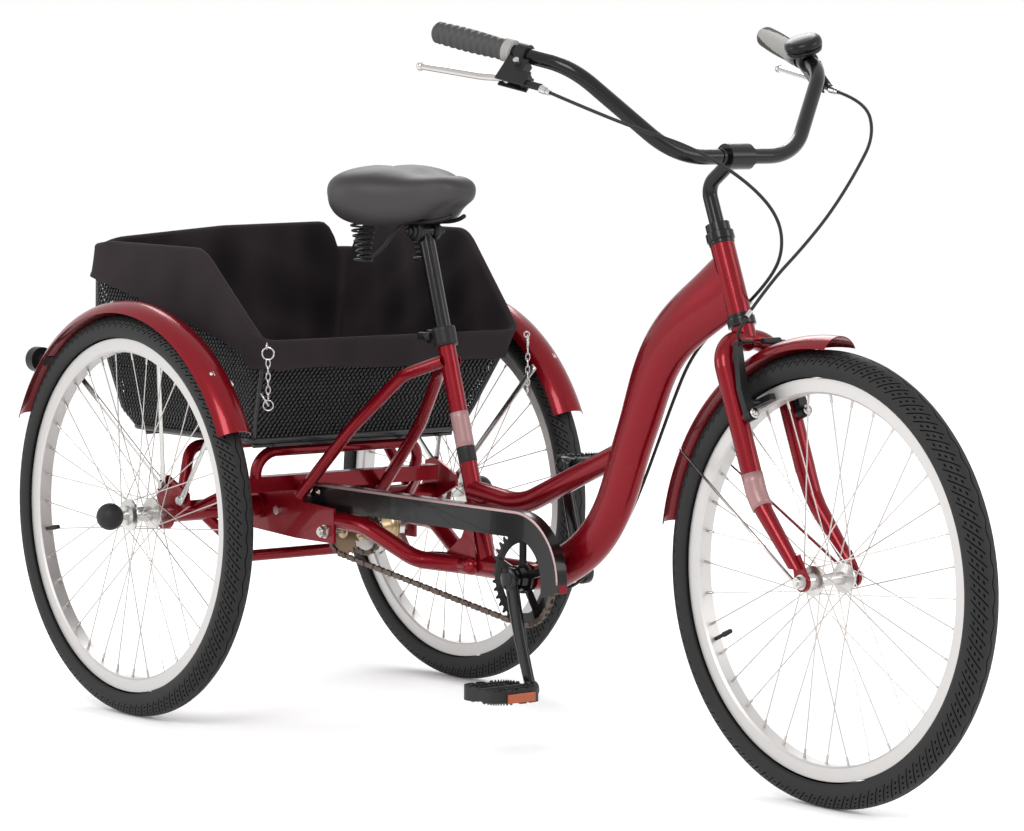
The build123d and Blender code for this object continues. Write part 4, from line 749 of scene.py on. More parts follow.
def link_plate(work, pitch, height, y, thick):
    """A chain side plate: round ends and a narrower waist."""
    outline = []
    for end, start in ((1, -90), (-1, 90)):
        for step in range(5):
            angle = math.radians(start + 45 * step)
            outline.append((pitch / 2 * end + height / 2 * math.cos(angle), height / 2 * math.sin(angle)))
        outline.append((0, height * 0.36 * end))
    rims = [[work.verts.new((x, y + shift, z)) for x, z in outline] for shift in (-thick / 2, thick / 2)]
    work.faces.new(rims[0])
    work.faces.new(list(reversed(rims[1])))
    for index in range(len(outline)):
        after = (index + 1) % len(outline)
        work.faces.new((rims[0][after], rims[0][index], rims[1][index], rims[1][after]))


def chain_link(outer):
    """One link lying along X: outer plates with pins, or inner plates with rollers."""
    values = settings("chain")
    work = bmesh.new()
    thick = 0.0010
    place = values.width * 0.5 - thick / 2 if outer else values.width * 0.5 - thick * 1.75
    for side in (-1, 1):
        link_plate(work, values.pitch, values.plate if outer else values.plate * 0.97, side * place, thick)
    for end in (-1, 1):
        centre = Vector((end * values.pitch / 2, 0, 0))
        across = sideways(place + thick * 0.6) if outer else sideways(place)
        cylinder_into(work, centre - across, centre + across, 0.0018 if outer else 0.0038, 8)
    bmesh.ops.recalc_face_normals(work, faces=work.faces)
    return mesh_of(work, "link")


def make_chains():
    """Two roller chains, link by link."""
    values = settings("chain")
    ring_y, axle_y = chain_planes()
    ring_radius, cog_radius = pitch_radius(RING_TEETH), pitch_radius(COG_TEETH)
    loops = ((CRANK, ring_radius, TRANSFER, cog_radius, ring_y),
             (TRANSFER, cog_radius, RIGHT_WHEEL, cog_radius, axle_y))
    meshes = []
    for first, first_radius, second, second_radius, y in loops:
        start = Vector((first.x, 0, first.z))
        end = Vector((second.x, 0, second.z))
        line = belt_line(start, first_radius, end, second_radius, y)
        _, reach = spaced(line, 4)
        count = 2 * round(reach / values.pitch / 2)
        pins, _ = spaced(line, count)
        for outer in (False, True):
            places = []
            for index in range(int(outer), count, 2):
                first_pin, next_pin = pins[index], pins[(index + 1) % count]
                ahead = next_pin - first_pin
                places.append(((first_pin + next_pin) / 2, ahead, sideways(1).cross(ahead)))
            meshes.append(repeated("chain_links", places, chain_link(outer), "chain", smooth=False))
    add_piece("chain_loops", meshes, "frame", "chain", ("chains",), smooth=False)


# ---------------------------------------------------------------- basket
BASKET_LEVELS = ((0.449, -0.184, 0.168, 0.212), (0.478, -0.213, 0.184, 0.224),
                 (0.627, -0.240, 0.264, 0.258), (0.774, -0.237, 0.270, 0.270))
CORNER = 0.024
SIDE_STEPS, CORNER_STEPS = 46, 6
BELT_Z, BELT_TO_TOP = 0.627, 0.147
WEAVE_TOP = 0.735


def basket_sizes(z):
    """Back, front and half width of the basket's wall at a height, from the rear axle."""
    heights = [level[0] for level in BASKET_LEVELS]
    return [float(np.interp(z, heights, [level[number] for level in BASKET_LEVELS]))
            for number in (1, 2, 3)]


def basket_rim():
    """Columns round the basket: (side, share along it, corner angle)."""
    columns = []
    for side in range(4):
        columns += [(side, step / SIDE_STEPS, None) for step in range(SIDE_STEPS + 1)]
        columns += [(side, 1.0, turn / CORNER_STEPS) for turn in range(1, CORNER_STEPS)]
    return columns


def basket_point(column, z, out=0.0):
    """A point of the basket's wall, moved outwards by out; sides 0 to 3 are front, left, back, right."""
    back, front, half = basket_sizes(z)
    side, share, turn = column
    slack = 0.012 * max(0.0, z - BELT_Z) / BELT_TO_TOP
    corners = ((front, -half), (front, half), (back, half), (back, slack - half))
    start, end = Vector(corners[side]), Vector(corners[(side + 1) % 4])
    along = (end - start).normalized()
    normal = Vector((along.y, -along.x))
    if turn is None:
        flat = start + along * (CORNER + ((end - start).length - 2 * CORNER) * share) + normal * out
        return at(flat.x, flat.y, z), normal
    after = (Vector(corners[(side + 2) % 4]) - end).normalized()
    next_normal = Vector((after.y, -after.x))
    centre = end - along * CORNER - normal * CORNER
    angle = turn * math.acos(max(-1.0, min(1.0, normal.dot(next_normal))))
    side_way = (next_normal - normal * normal.dot(next_normal)).normalized()
    way = normal * math.cos(angle) + side_way * math.sin(angle)
    flat = centre + way * (CORNER + out)
    return at(flat.x, flat.y, z), way


def wall_top(x, y):
    """Height of the liner's top edge at a place from the rear axle: its right side hangs a little lower."""
    peak = float(np.interp(y, (-0.26, 0.0, 0.2), (0.757, 0.776, 0.779)))
    nearby = [np.interp(x + step, (-0.2, 0.098, 0.262), (peak + 0.002, peak, 0.614))
              for step in (-0.016, -0.008, 0.0, 0.008, 0.016)]
    return float(sum(nearby)) / 5


def column_top(column):
    """Height of the liner's top edge on a column, with its drop in the rear corners."""
    place = basket_point(column, 0.7)[0]
    return wall_top(place.x - REAR, place.y) - corner_dip(column)


def corner_dip(column):
    """How far the top edge drops in the rear corners, where the walls part."""
    side, share, turn = column
    if turn is not None:
        return {1: 0.044, 2: 0.006}.get(side, 0.0)
    left = {1: 1 - share, 2: share}.get(side, 1.0)
    right = {2: 1 - share, 3: share}.get(side, 1.0)
    return 0.044 * max(0.0, 1 - left / 0.08) ** 2 + 0.006 * max(0.0, 1 - right / 0.08) ** 2


def cuff_low(column, x):
    """Height of the cuff's lower edge outside the basket."""
    side, share, turn = column
    if side == 0 and turn is None:
        return 0.569 + 0.003 * math.sin(share * 9.0)
    return float(np.interp(x, (-0.24, -0.07, 0.17, 0.225, 0.25), (0.704, 0.670, 0.613, 0.594, 0.572)))


def bead():
    """A small rounded strand crossing, pillow shaped."""
    work = bmesh.new()
    rows = []
    for v in (-1, 0, 1):
        rows.append([work.verts.new((0.66 * u * (1 - 0.35 * abs(v)), 0.0, 0.40 * v * (1 - 0.25 * abs(u))))
                     for u in (-1, 0, 1)])
    front = rows[1][1]
    front.co.y = 0.30
    back = work.verts.new((0, -0.25, 0))
    rim = [rows[0][0], rows[0][1], rows[0][2], rows[1][2], rows[2][2], rows[2][1], rows[2][0], rows[1][0]]
    for index in range(8):
        work.faces.new((rim[index], rim[(index + 1) % 8], front))
        work.faces.new((rim[(index + 1) % 8], rim[index], back))
    bmesh.ops.recalc_face_normals(work, faces=work.faces)
    return mesh_of(work, "bead")


def make_basket():
    """The woven wall, its floor grid and the wire that carries it."""
    strand = settings("basket").strand
    places = []
    row = 0
    z = BASKET_LEVELS[0][0] + strand / 2
    columns = basket_rim()
    while z < WEAVE_TOP:
        ring = [basket_point(column, z)[0] for column in columns]
        count = 2 * int(spaced(ring, 4)[1] / strand / 2)
        chosen = spaced(ring, 2 * count)[0][row % 2::2]
        for index, point in enumerate(chosen):
            after, before = chosen[(index + 1) % count], chosen[index - 1]
            ahead = (after - before).normalized() * 0.62 + Vector((0, 0, 0.78))
            if z < wall_top(point.x - REAR, point.y) - 0.046 * (point.x < REAR - 0.19) - 0.012:
                places.append((point, ahead, Vector((0, 0, 1))))
        z += strand * 0.72
        row += 1
    wall = repeated("basket_weave", places, bead(), "weave", size=strand)
    floor = []
    back, front, half = basket_sizes(BASKET_LEVELS[0][0])
    level = BASKET_LEVELS[0][0] + 0.003
    for number in range(29):
        y = -half + 0.01 + (2 * half - 0.02) * number / 28
        floor.append(tube_mesh("bar", [at(back, y, level), at(front, y, level)], 0.0022, 6))
    for number in range(21):
        x = back + 0.01 + (front - back - 0.02) * number / 20
        floor.append(tube_mesh("bar", [at(x, -half, level + 0.003), at(x, half, level + 0.003)], 0.0022, 6))
    for z, radius, out in ((0.452, 0.0050, 0.001), (0.540, 0.0026, -0.003)):
        ring = [basket_point(column, z, out)[0] for column in columns]
        floor.append(tube_mesh("wire", ring, radius, 8, closed=True))
    top = [basket_point(column, column_top(column) - 0.012, -0.002)[0] for column in columns]
    floor.append(tube_mesh("wire", top, 0.0035, 8, closed=True))
    for corner in range(4):
        column = (corner, 1.0, 0.5)
        limit = 0.715 if corner in (1, 2) else 0.60
        floor.append(tube_mesh("post", [basket_point(column, 0.45 + (limit - 0.45) * part / 8, 0.0)[0]
                                        for part in range(9)], 0.004, 8))
    for side in (-1, 1):
        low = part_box("basket")[0].z + 0.005
        for y in (0.09, 0.17):
            floor.append(tube_mesh("rail", [at(back + 0.01, side * y, low),
                                            at(front - 0.01, side * y, low)], 0.0045, 10))
    for x in (back + 0.02, front - 0.02):
        floor.append(tube_mesh("rail", [at(x, -0.2, low), at(x, 0.2, low)], 0.0045, 10))
    add_piece("basket_woven", [wall] + floor, "frame", "weave", ("basket",))


def ripple(points, depth, seed):
    """Soft folds with sharp crests running in several directions; one depth for each point."""
    rng = random.Random(seed)
    total = np.zeros(len(points))
    for _ in range(5):
        way = Vector((rng.uniform(-1, 1), rng.uniform(-1, 1), rng.uniform(-0.7, 0.7))).normalized()
        size = rng.uniform(18, 52)
        phase = rng.uniform(0, 6.28)
        total += np.array([1 - abs(math.sin(point.dot(way) * size + phase)) for point in points])
    return depth * total / 5


FLOOR_ROWS, WALL_ROWS, TURN_ROWS, CUFF_ROWS = 13, 34, 5, 22
TURN_START = FLOOR_ROWS + WALL_ROWS
CUFF_START = TURN_START + TURN_ROWS


def make_liner():
    """The fabric liner: floor, walls, turned-over tops and hanging cuffs, in one continuous sheet."""
    columns = basket_rim()
    rows = []
    inset = -0.0085
    floor_z = 0.4565
    centre = Vector((REAR - 0.005, 0, floor_z))
    edge = [basket_point(column, floor_z, inset - 0.004)[0] for column in columns]
    for step in range(1, FLOOR_ROWS + 1):
        share = step / (FLOOR_ROWS + 1)
        rows.append([centre + (point - centre) * share for point in edge])
    tops = [column_top(column) for column in columns]
    lows = [cuff_low(column, basket_point(column, 0.7)[0].x - REAR) for column in columns]
    for step in range(WALL_ROWS):
        share = step / (WALL_ROWS - 1)
        rows.append([basket_point(column, floor_z + (top - 0.004 - floor_z) * share, inset)[0]
                     for column, top in zip(columns, tops)])
    for step in range(1, TURN_ROWS + 1):
        angle = math.pi * step / (TURN_ROWS + 1)
        rows.append([basket_point(column, top - 0.004 + 0.0065 * math.sin(angle),
                                  (inset + 0.0055) / 2 - (0.0055 - inset) / 2 * math.cos(angle))[0]
                     for column, top in zip(columns, tops)])
    for step in range(CUFF_ROWS):
        share = step / (CUFF_ROWS - 1)
        flare = 0.0055 + 0.004 * share ** 2 + (0.0012 if share > 0.86 else 0.0)
        rows.append([basket_point(column, top - 0.004 + (low - top + 0.004) * share, flare)[0]
                     for column, top, low in zip(columns, tops, lows)])
    width = len(columns)
    flat = [point for row in rows for point in row]
    depth = settings("basket").wrinkle
    shift = ripple(flat, depth, 7)
    for index, point in enumerate(flat):
        row, column = divmod(index, width)
        _, way = basket_point(columns[column], 0.6)
        soft = 0.0
        if row < FLOOR_ROWS:
            point.z += shift[index] * 0.3
        elif row < TURN_START:
            soft = -shift[index] * math.sin(math.pi * min((row - FLOOR_ROWS) / (WALL_ROWS - 1), 1.0)) ** 0.6
        elif row > CUFF_START + 1:
            soft = shift[index] * 0.4 * (row - CUFF_START - 1) / (CUFF_ROWS - 2)
        point.x += way.x * soft
        point.y += way.y * soft
    faces = grid_faces(len(rows), width, wrap_columns=True)
    faces.append(tuple(range(width)))
    mesh = mesh_from("liner", flat, faces)
    # Painted shade: each point gets a darkness for the material, strongest in the hollows of the folds and
    # weaker on the turned-over tops and cuffs.
    crest = (shift - shift.min()) / (shift.max() - shift.min())
    level = np.array([0.35 if index // width >= TURN_START else 1.0 for index in range(len(flat))])
    mesh.attributes.new("painted_fold_shade", "FLOAT", "POINT").data.foreach_set("value",
                                                                   0.9 * level * (1 - crest) ** 1.6)
    work = bmesh.new()
    work.from_mesh(mesh)
    bmesh.ops.triangulate(work, faces=[face for face in work.faces if len(face.verts) > 4])
    work.to_mesh(mesh)
    work.free()
    made = add_piece("liner_sheet", mesh, "frame", "fabric", ("basket_liner",))


def wire_loop(centre, long_way, wide_way, half_long, half_wide, wire, turns=20):
    """A closed oval loop of wire in the plane of two directions."""
    return tube_mesh("loop", ring_of(centre, long_way, wide_way, half_long, half_wide, turns), wire, 8,
                     closed=True)


def make_keeper_chains():
    """A short chain with a ring and a toggle at each front corner of the basket."""
    down = Vector((0, 0, -1))
    meshes = []
    for side in (-1, 1):
        start = at(0.2765, side * 0.2610, 0.6100)
        way_a = Vector((0.7, side * 0.7, 0)).normalized()
        way_b = Vector((0.7, -side * 0.7, 0)).normalized()
        meshes.append(wire_loop(start + down * 0.010, down, way_b, 0.0095, 0.0095, 0.0013))
        meshes.append(wire_loop(start + Vector((-0.003, 0, 0.001)), down, way_a, 0.0045, 0.0045, 0.0012))
        places = [(start + down * (0.0255 + number * 0.0105), down, way_a if number % 2 else way_b)
                  for number in range(6)]
        link = wire_loop(Vector(), Vector((1, 0, 0)), Vector((0, 0, 1)), 0.0068, 0.0034, 0.00095, 14)
        meshes.append(repeated("keeper", places, link, "chrome"))
        foot = start + down * 0.0875
        meshes.append(wire_loop(foot + down * 0.004, down, way_b, 0.0080, 0.0080, 0.0012))
        lean = (down * 0.8 + way_b * 0.5).normalized()
        bar = foot + Vector((-0.004, side * 0.003, 0.004))
        meshes.append(tube_mesh("toggle", [bar - lean * 0.013, bar + lean * 0.011], 0.0017, 10))
    add_piece("keeper_chains", meshes, "frame", "chrome", ("basket_chains",))


# ---------------------------------------------------------------- saddle
SADDLE_STATIONS = ((0.196, 0.012, 0.850, 0.862), (0.200, 0.055, 0.836, 0.874),
                   (0.209, 0.090, 0.818, 0.884), (0.226, 0.113, 0.806, 0.891),
                   (0.250, 0.124, 0.798, 0.894), (0.275, 0.123, 0.796, 0.894),
                   (0.300, 0.112, 0.797, 0.891), (0.325, 0.092, 0.800, 0.885),
                   (0.350, 0.070, 0.805, 0.880), (0.375, 0.053, 0.812, 0.879),
                   (0.400, 0.042, 0.824, 0.880), (0.422, 0.036, 0.834, 0.879),
                   (0.436, 0.029, 0.838, 0.872), (0.444, 0.020, 0.843, 0.864),
                   (0.448, 0.006, 0.850, 0.857))


def make_saddle():
    """The padded saddle: a wide rear with drooping edges, a channel down its middle and a rounded nose."""
    count = 60
    sides = 56
    stations = np.array(SADDLE_STATIONS)
    reach = np.concatenate([[0], np.cumsum(np.hypot(np.diff(stations[:, 0]), np.diff(stations[:, 1])))])
    wanted = np.linspace(0, reach[-1], count)
    columns = []
    for number in range(4):
        line = np.interp(wanted, reach, stations[:, number])
        smooth = np.convolve(np.pad(line, 3, mode="edge"), np.array((1, 3, 5, 7, 5, 3, 1)) / 25,
                             mode="valid")
        smooth[0], smooth[-1] = line[0], line[-1]
        columns.append(smooth)
    points = []
    for ahead, half, low, high in zip(*columns):
        waist = low + (high - low) * 0.52
        for number in range(sides):
            angle = 2 * math.pi * number / sides
            across, tall = math.cos(angle), math.sin(angle)
            if tall >= 0:
                y = half * math.copysign(abs(across) ** 0.86, across)
                z = waist + (high - waist) * tall ** 0.80
                channel = math.exp(-(y / 0.016) ** 2) * math.exp(-((ahead - 0.30) / 0.085) ** 2)
                z -= 0.0075 * channel
            else:
                y = half * math.copysign(abs(across) ** 0.34, across) * (1 + 0.10 * tall)
                z = waist + (waist - low) * math.copysign(abs(tall) ** 0.62, tall)
            crease = math.exp(-((z - waist + 0.010) / 0.0015) ** 2)
            y *= 1 - 0.010 * crease
            points.append(at(float(ahead), y, z))
    mesh = mesh_from("saddle_cover", points, tube_faces(count, sides))
    outward(mesh)
    # Painted shade: marks the faces that look up, which the cover's material darkens.
    painted_top_shade = [min(1.0, max(0.0, (normal.vector.z - 0.45) / 0.3)) for normal in mesh.vertex_normals]
    mesh.attributes.new("painted_top_shade", "FLOAT", "POINT").data.foreach_set("value", painted_top_shade)
    made = add_piece("saddle_pad", mesh, "seat", "cover", ("saddle",))


SADDLE_CLAMP = Vector((-0.30335, 0, 0.78925))
SPRING_X, SPRING_Y = 0.255, 0.06


def make_saddle_frame():
    """Rails, clamp cheeks with their bolt, and two coil springs under the saddle."""
    clamp = SADDLE_CLAMP
    values = settings("saddle")
    dark, bright = [], []
    for side in (-1, 1):
        rail = smooth_path([at(0.425, side * 0.012, 0.815), at(0.398, side * 0.020, 0.806),
                            at(0.340, side * 0.022, clamp.z + 0.014),
                            at(0.305, side * 0.026, clamp.z + 0.008),
                            at(0.275, side * 0.050, 0.744), at(0.255, side * 0.060, 0.742)])
        dark.append(tube_mesh("rail", rail, 0.0035, 12))
        work = bmesh.new()
        cylinder_into(work, clamp + sideways(side * 0.0125), clamp + sideways(side * 0.0210), 0.0165, 28)
        cylinder_into(work, clamp + sideways(side * 0.0205), clamp + sideways(side * 0.0260), 0.0115, 24)
        for low, high, radius in ((0.738, 0.743, 0.0155), (0.803, 0.812, 0.0225)):
            cylinder_into(work, at(SPRING_X, side * SPRING_Y, low), at(SPRING_X, side * SPRING_Y, high),
                          radius, 24)
        dark.append(mesh_of(work, "cheek"))
        coil = []
        steps = 24 * values.coils
        for step in range(steps + 1):
            share = step / steps
            angle = 2 * math.pi * values.coils * share
            radius = 0.0085 + 0.0125 * share
            coil.append(at(SPRING_X + radius * math.cos(angle),
                           side * (SPRING_Y + radius * math.sin(angle)), 0.744 + 0.058 * share))
        dark.append(tube_mesh("coil", coil, values.wire, 10))
        work = bmesh.new()
        cylinder_into(work, clamp + sideways(side * 0.0255), clamp + sideways(side * 0.0330), 0.0072, 6)
        cylinder_into(work, clamp + sideways(side * 0.0325), clamp + sideways(side * 0.0380), 0.0040, 16)
        bright.append(mesh_of(work, "nut"))
    add_piece("saddle_undercarriage", dark, "seat", "satin_black", ("saddle_frame",))
    add_piece("saddle_nuts", bright, "seat", "satin_black")


# ---------------------------------------------------------------- controls
GRIP_AXIS = Vector((0.9128, 0.3444, -0.2196))


def make_grips():
    """Shaped grips with ribs on the finger side and a smooth palm."""
    axis = GRIP_AXIS
    start = GRIP_END - axis * 0.001
    across = axis.cross(Vector((0, 0, 1))).normalized()
    up = across.cross(axis).normalized()
    meshes = []
    for side in (-1, 1):
        points = []
        for step in range(GRIP_ROWS):
            share = step / (GRIP_ROWS - 1)
            along = 0.136 * share
            swell = 0.0150 + 0.0013 * math.sin(math.pi * min(share / 0.8, 1.0))
            if share < 0.05:
                swell *= 0.72 + 0.34 * math.sin(share / 0.05 * math.pi / 2)
            if share > 0.88:
                swell += 0.0016
            rib = 0.0009 * math.cos(share * 2 * math.pi * 12) if 0.08 < share < 0.86 else 0.0
            for number in range(GRIP_COLUMNS):
                angle = 2 * math.pi * number / GRIP_COLUMNS
                palm = math.cos((number / GRIP_COLUMNS - PALM_TURN) * 2 * math.pi) > 0.95 - 0.7 * share
                radius = swell + (0.0006 if palm else rib)
                points.append(start + axis * along + up * (radius * math.cos(angle))
                              + across * (radius * math.sin(angle)))
        faces = tube_faces(GRIP_ROWS, GRIP_COLUMNS)
        if side > 0:
            points = [Vector((point.x, -point.y, point.z)) for point in points]
            faces = [tuple(reversed(face)) for face in faces]
        mesh = mesh_from("grip", points, faces)
        layer = mesh.uv_layers.new(name="grip")
        for face in mesh.polygons:
            numbers = [mesh.loops[loop].vertex_index for loop in face.loop_indices]
            columns = [number % GRIP_COLUMNS for number in numbers]
            wraps = max(columns) - min(columns) > GRIP_COLUMNS / 2
            for loop, vertex in zip(face.loop_indices, numbers):
                around = GRIP_COLUMNS if wraps and vertex % GRIP_COLUMNS == 0 else vertex % GRIP_COLUMNS
                layer.data[loop].uv = (around / GRIP_COLUMNS, (vertex // GRIP_COLUMNS) / (GRIP_ROWS - 1))
        outward(mesh, merge=False)
        meshes.append(mesh)
    add_piece("grip_pair", meshes, "steering", "grip", ("grips",))


CABLE_RADIUS = 0.0025
REAR_CABLE = ((0.980, -0.2805, 1.016), (1.046, -0.256, 0.990), (1.114, -0.212, 0.960),
              (1.150, -0.140, 0.934), (1.150, -0.040, 0.886), (1.157, 0.014, 0.836), (1.152, 0.028, 0.785),
              (1.124, 0.027, 0.742), (1.088, 0.022, 0.711))
FRONT_CABLE = ((0.980, 0.2805, 1.016), (1.052, 0.282, 1.001), (1.104, 0.252, 0.950), (1.130, 0.190, 0.896),
               (1.144, 0.128, 0.839), (1.148, 0.070, 0.790), (1.144, 0.010, 0.740),
               (1.1384, -0.029, 0.6935))
FRAME_CABLE = ((1.0813, 0.0211, 0.7052), (1.052, 0.0284, 0.688), (1.000, 0.0284, 0.664),
               (0.950, 0.028, 0.618), (0.914, 0.028, 0.556), (0.878, 0.028, 0.486), (0.838, 0.028, 0.410),
               (0.796, 0.0285, 0.346), (0.734, 0.0285, 0.290), (0.672, 0.028, 0.243), (0.586, 0.026, 0.243),
               (0.490, 0.034, 0.246), (0.400, 0.056, 0.246), (0.318, 0.070, 0.272), (0.238, 0.047, 0.257))


def make_cables():
    """Three lengths of sleeved brake cable, and the metal ends where they enter a lever or a stop."""
    for name, route, node_name in (("rear_cable_upper", REAR_CABLE, "rear_brake_cable"),
                                   ("front_cable", FRONT_CABLE, "front_brake_cable"),
                                   ("rear_cable_lower", FRAME_CABLE, "rear_cable_run")):
        path = smooth_path([at(*place) for place in route])
        made = object_from(tube_mesh(name, path, CABLE_RADIUS, 12), name)
        made.data.materials.append(MATERIALS["plastic"])
        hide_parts(node_name)
        if node_name == "rear_brake_cable":
            points = [at(*place) for place in route]
            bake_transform(made)
        else:
            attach(made, "steering" if node_name == "front_brake_cable" else "frame")
    work = bmesh.new()
    for route in (REAR_CABLE, FRONT_CABLE):
        points = [at(*place) for place in route]
        way = (points[1] - points[0]).normalized()
        cylinder_into(work, points[0] - way * 0.002, points[0] + way * 0.008, 0.0058, 20)
        cylinder_into(work, points[0] + way * 0.008, points[0] + way * 0.015, 0.0044, 20)
    points = [at(*place) for place in FRONT_CABLE]
    way = (points[-1] - points[-2]).normalized()
    cylinder_into(work, points[-1] - way * 0.010, points[-1] + way * 0.001, 0.0034, 16)
    add_piece("cable_ends", work, "steering", "chrome", smooth=False)


# ---------------------------------------------------------------- drive
def rounded_disc(centre, half, radius, lip=0.0015, sides=40):
    """A disc across the tricycle with rounded edges."""
    profile = ((-half, radius - lip), (-half + lip * 0.4, radius - lip * 0.3), (-half + lip, radius),
               (half - lip, radius), (half - lip * 0.4, radius - lip * 0.3), (half, radius - lip))
    return tube_mesh("disc", [centre + sideways(along) for along, _ in profile],
                     [reach for _, reach in profile], sides)


def cog_mesh(centre, teeth, thick):
    """A toothed sprocket about a cross axis."""
    base = pitch_radius(teeth)
    outline = []
    for tooth in range(teeth):
        for shift, reach in ((-0.62, -0.0040), (-0.34, -0.0012), (-0.16, 0.0036), (0.16, 0.0036),
                             (0.34, -0.0012), (0.62, -0.0040)):
            angle = (2 * tooth + shift) * math.pi / teeth
            outline.append(on_circle(centre, base + reach, angle))
    work = bmesh.new()
    rims = []
    for level, shrink in ((-thick / 2, 0.0006), (-thick / 4, 0.0), (thick / 4, 0.0), (thick / 2, 0.0006)):
        rims.append([work.verts.new(point - (point - Vector((centre.x, 0, centre.z))).normalized() * shrink
                                    + sideways(centre.y + level)) for point in outline])
    for first, second in zip(rims, rims[1:]):
        for index in range(len(outline)):
            after = (index + 1) % len(outline)
            work.faces.new((first[index], first[after], second[after], second[index]))
    work.faces.new(rims[0])
    work.faces.new(list(reversed(rims[-1])))
    bmesh.ops.recalc_face_normals(work, faces=work.faces)
    return mesh_of(work, "cog")


def make_transfer_hub():
    """The intermediate hub: a plated shell with its drum, and a cog for each chain."""
    ring_y, axle_y = chain_planes()
    profile = ((-0.052, 0.0120), (-0.050, 0.0140), (-0.008, 0.0140), (0.004, 0.0150), (0.010, 0.0200),
               (0.014, 0.0220), (0.030, 0.0216), (0.039, 0.0225), (0.040, 0.0290), (0.0415, 0.0300),
               (0.0530, 0.0300), (0.0545, 0.0285), (0.058, 0.0200), (0.061, 0.0140), (0.065, 0.0130),
               (0.066, 0.0110))
    shell = tube_mesh("shell", [TRANSFER + sideways(along) for along, _ in profile],
                      [radius for _, radius in profile], 48)
    collars = [shell]
    for along, radius in ((-0.043, 0.0200), (-0.009, 0.0200)):
        collars.append(rounded_disc(TRANSFER + sideways(along), 0.0022, radius))
    add_piece("transfer_shell", collars, "transfer_hub", "zinc", ("intermediate_hub",))
    for name, y, finish in (("ring_side_cog", ring_y, "bronze"), ("axle_side_cog", axle_y, "steel")):
        mesh = cog_mesh(Vector((TRANSFER.x, y, TRANSFER.z)), COG_TEETH, 0.0022)
        add_piece(name, mesh, "transfer_hub", finish, smooth=False)


CRANK_Y = 0.072
PEDAL_RISE = 0.012


def make_cranks():
    """Forged crank arms with rounded ends, on their spindle, each with a pedal spindle."""
    meshes, caps = [], []
    for side in (-1, 1):
        pedal = "pedal_right" if side < 0 else "pedal_left"
        toe = Vector((middle(pedal).x, side * CRANK_Y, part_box(pedal)[0].z + PEDAL_RISE))
        heel = Vector((CRANK.x, side * CRANK_Y, CRANK.z))
        along = (toe - heel).normalized()
        across = sideways(1).cross(along) * -side
        rows = []
        for step in range(25):
            share = step / 24
            centre = heel.lerp(toe, share) + across * (0.0035 * math.sin(math.pi * share))
            wide, thick = 0.0130 - 0.0036 * share, 0.0062 - 0.0008 * share
            for number in range(24):
                angle = 2 * math.pi * number / 24
                flat = squarish(math.cos(angle), 0.55)
                tall = squarish(math.sin(angle), 0.55)
                rows.append(centre + across * (wide * flat) + sideways(thick * tall))
        arm = mesh_from("arm", rows, tube_faces(25, 24))
        outward(arm)
        meshes += [arm, rounded_disc(heel, 0.0072, 0.0180), rounded_disc(toe, 0.0070, 0.0130),
                   tube_mesh("pin", [toe, toe + sideways(side * 0.098)], 0.0050, 20)]
        caps.append(rounded_disc(heel + sideways(side * 0.0074), 0.0012, 0.0100, 0.0008))
        caps.append(rounded_disc(toe - sideways(side * 0.0072), 0.0012, 0.0055, 0.0008))
    meshes.append(tube_mesh("spindle", [CRANK - sideways(CRANK_Y), CRANK + sideways(CRANK_Y)], 0.0085, 28))
    add_piece("crank_arms", meshes, "crankset", "black", ("cranks",))
    add_piece("crank_caps", caps, "crankset", "satin_black")


# ---------------------------------------------------------------- pedals
PEDAL_COLUMNS = 168


def make_pedals():
    """Toothed cage pedals with an amber reflector fore and aft."""
    for name in ("right", "left"):
        low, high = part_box("pedal_" + name)
        centre = Vector(((low.x + high.x) / 2, (low.y + high.y) / 2, low.z + PEDAL_RISE))
        wide, deep, wall = 0.092, 0.096, 0.004
        work = bmesh.new()
        loops = []
        for inner, level in ((0, -1), (0, 1), (1, 1), (1, -1)):
            loop = []
            for step in range(PEDAL_COLUMNS):
                angle = 2 * math.pi * step / PEDAL_COLUMNS
                way = Vector((squarish(math.cos(angle), 0.45), squarish(math.sin(angle), 0.45)))
                tooth = 0.0115 + (0.0 if step % 4 < 2 else -0.0030)
                if level < 0:
                    tooth = min(tooth, centre.z - low.z)
                place = Vector((way.x * (deep / 2 - wall * inner), way.y * (wide / 2 - wall * inner),
                                level * tooth))
                loop.append(work.verts.new(centre + place))
            loops.append(loop)
        for index in range(4):
            first, second = loops[index], loops[(index + 1) % 4]
            for step in range(PEDAL_COLUMNS):
                work.faces.new((first[step], first[(step + 1) % PEDAL_COLUMNS],
                                second[(step + 1) % PEDAL_COLUMNS], second[step]))
        for across in (-0.026, 0.026):
            box_into(work, centre + sideways(across), (deep - 0.010, 0.005, 0.014), bevel=0.001)
        for along in (-0.030, 0.030):
            box_into(work, centre + Vector((along, 0, 0)), (0.006, wide - 0.008, 0.016), bevel=0.001)
            for number in range(8):
                y = -wide / 2 + 0.012 + (wide - 0.024) * number / 7
                box_into(work, centre + Vector((along, y, 0.0090)), (0.005, 0.004, 0.005), bevel=0.0008)
        cylinder_into(work, centre - sideways(wide / 2), centre + sideways(wide / 2), 0.0098, 24)
        bmesh.ops.recalc_face_normals(work, faces=work.faces)
        add_piece("pedal_cage_" + name, work, name + "_pedal", "plastic",
                  ("pedal_" + name,), smooth=False)
        work = bmesh.new()
        for end in (-1, 1):
            box_into(work, centre + Vector((end * (deep / 2 + 0.0015), 0, -0.002)), (0.004, 0.052, 0.014),
                     bevel=0.001)
        add_piece("pedal_lens_" + name, work, name + "_pedal", "orange", smooth=False)


# ---------------------------------------------------------------- cad finishes and stage
def paint_cad():
    """A procedural finish on every solid that stays in view."""
    for finish, names in CAD_FINISH.items():
        for name in names:
            shown = frame["nodes"][name]
            if not shown.material_slots:
                shown.data.materials.append(MATERIALS[finish])
            for slot in shown.material_slots:
                slot.material = MATERIALS[finish]


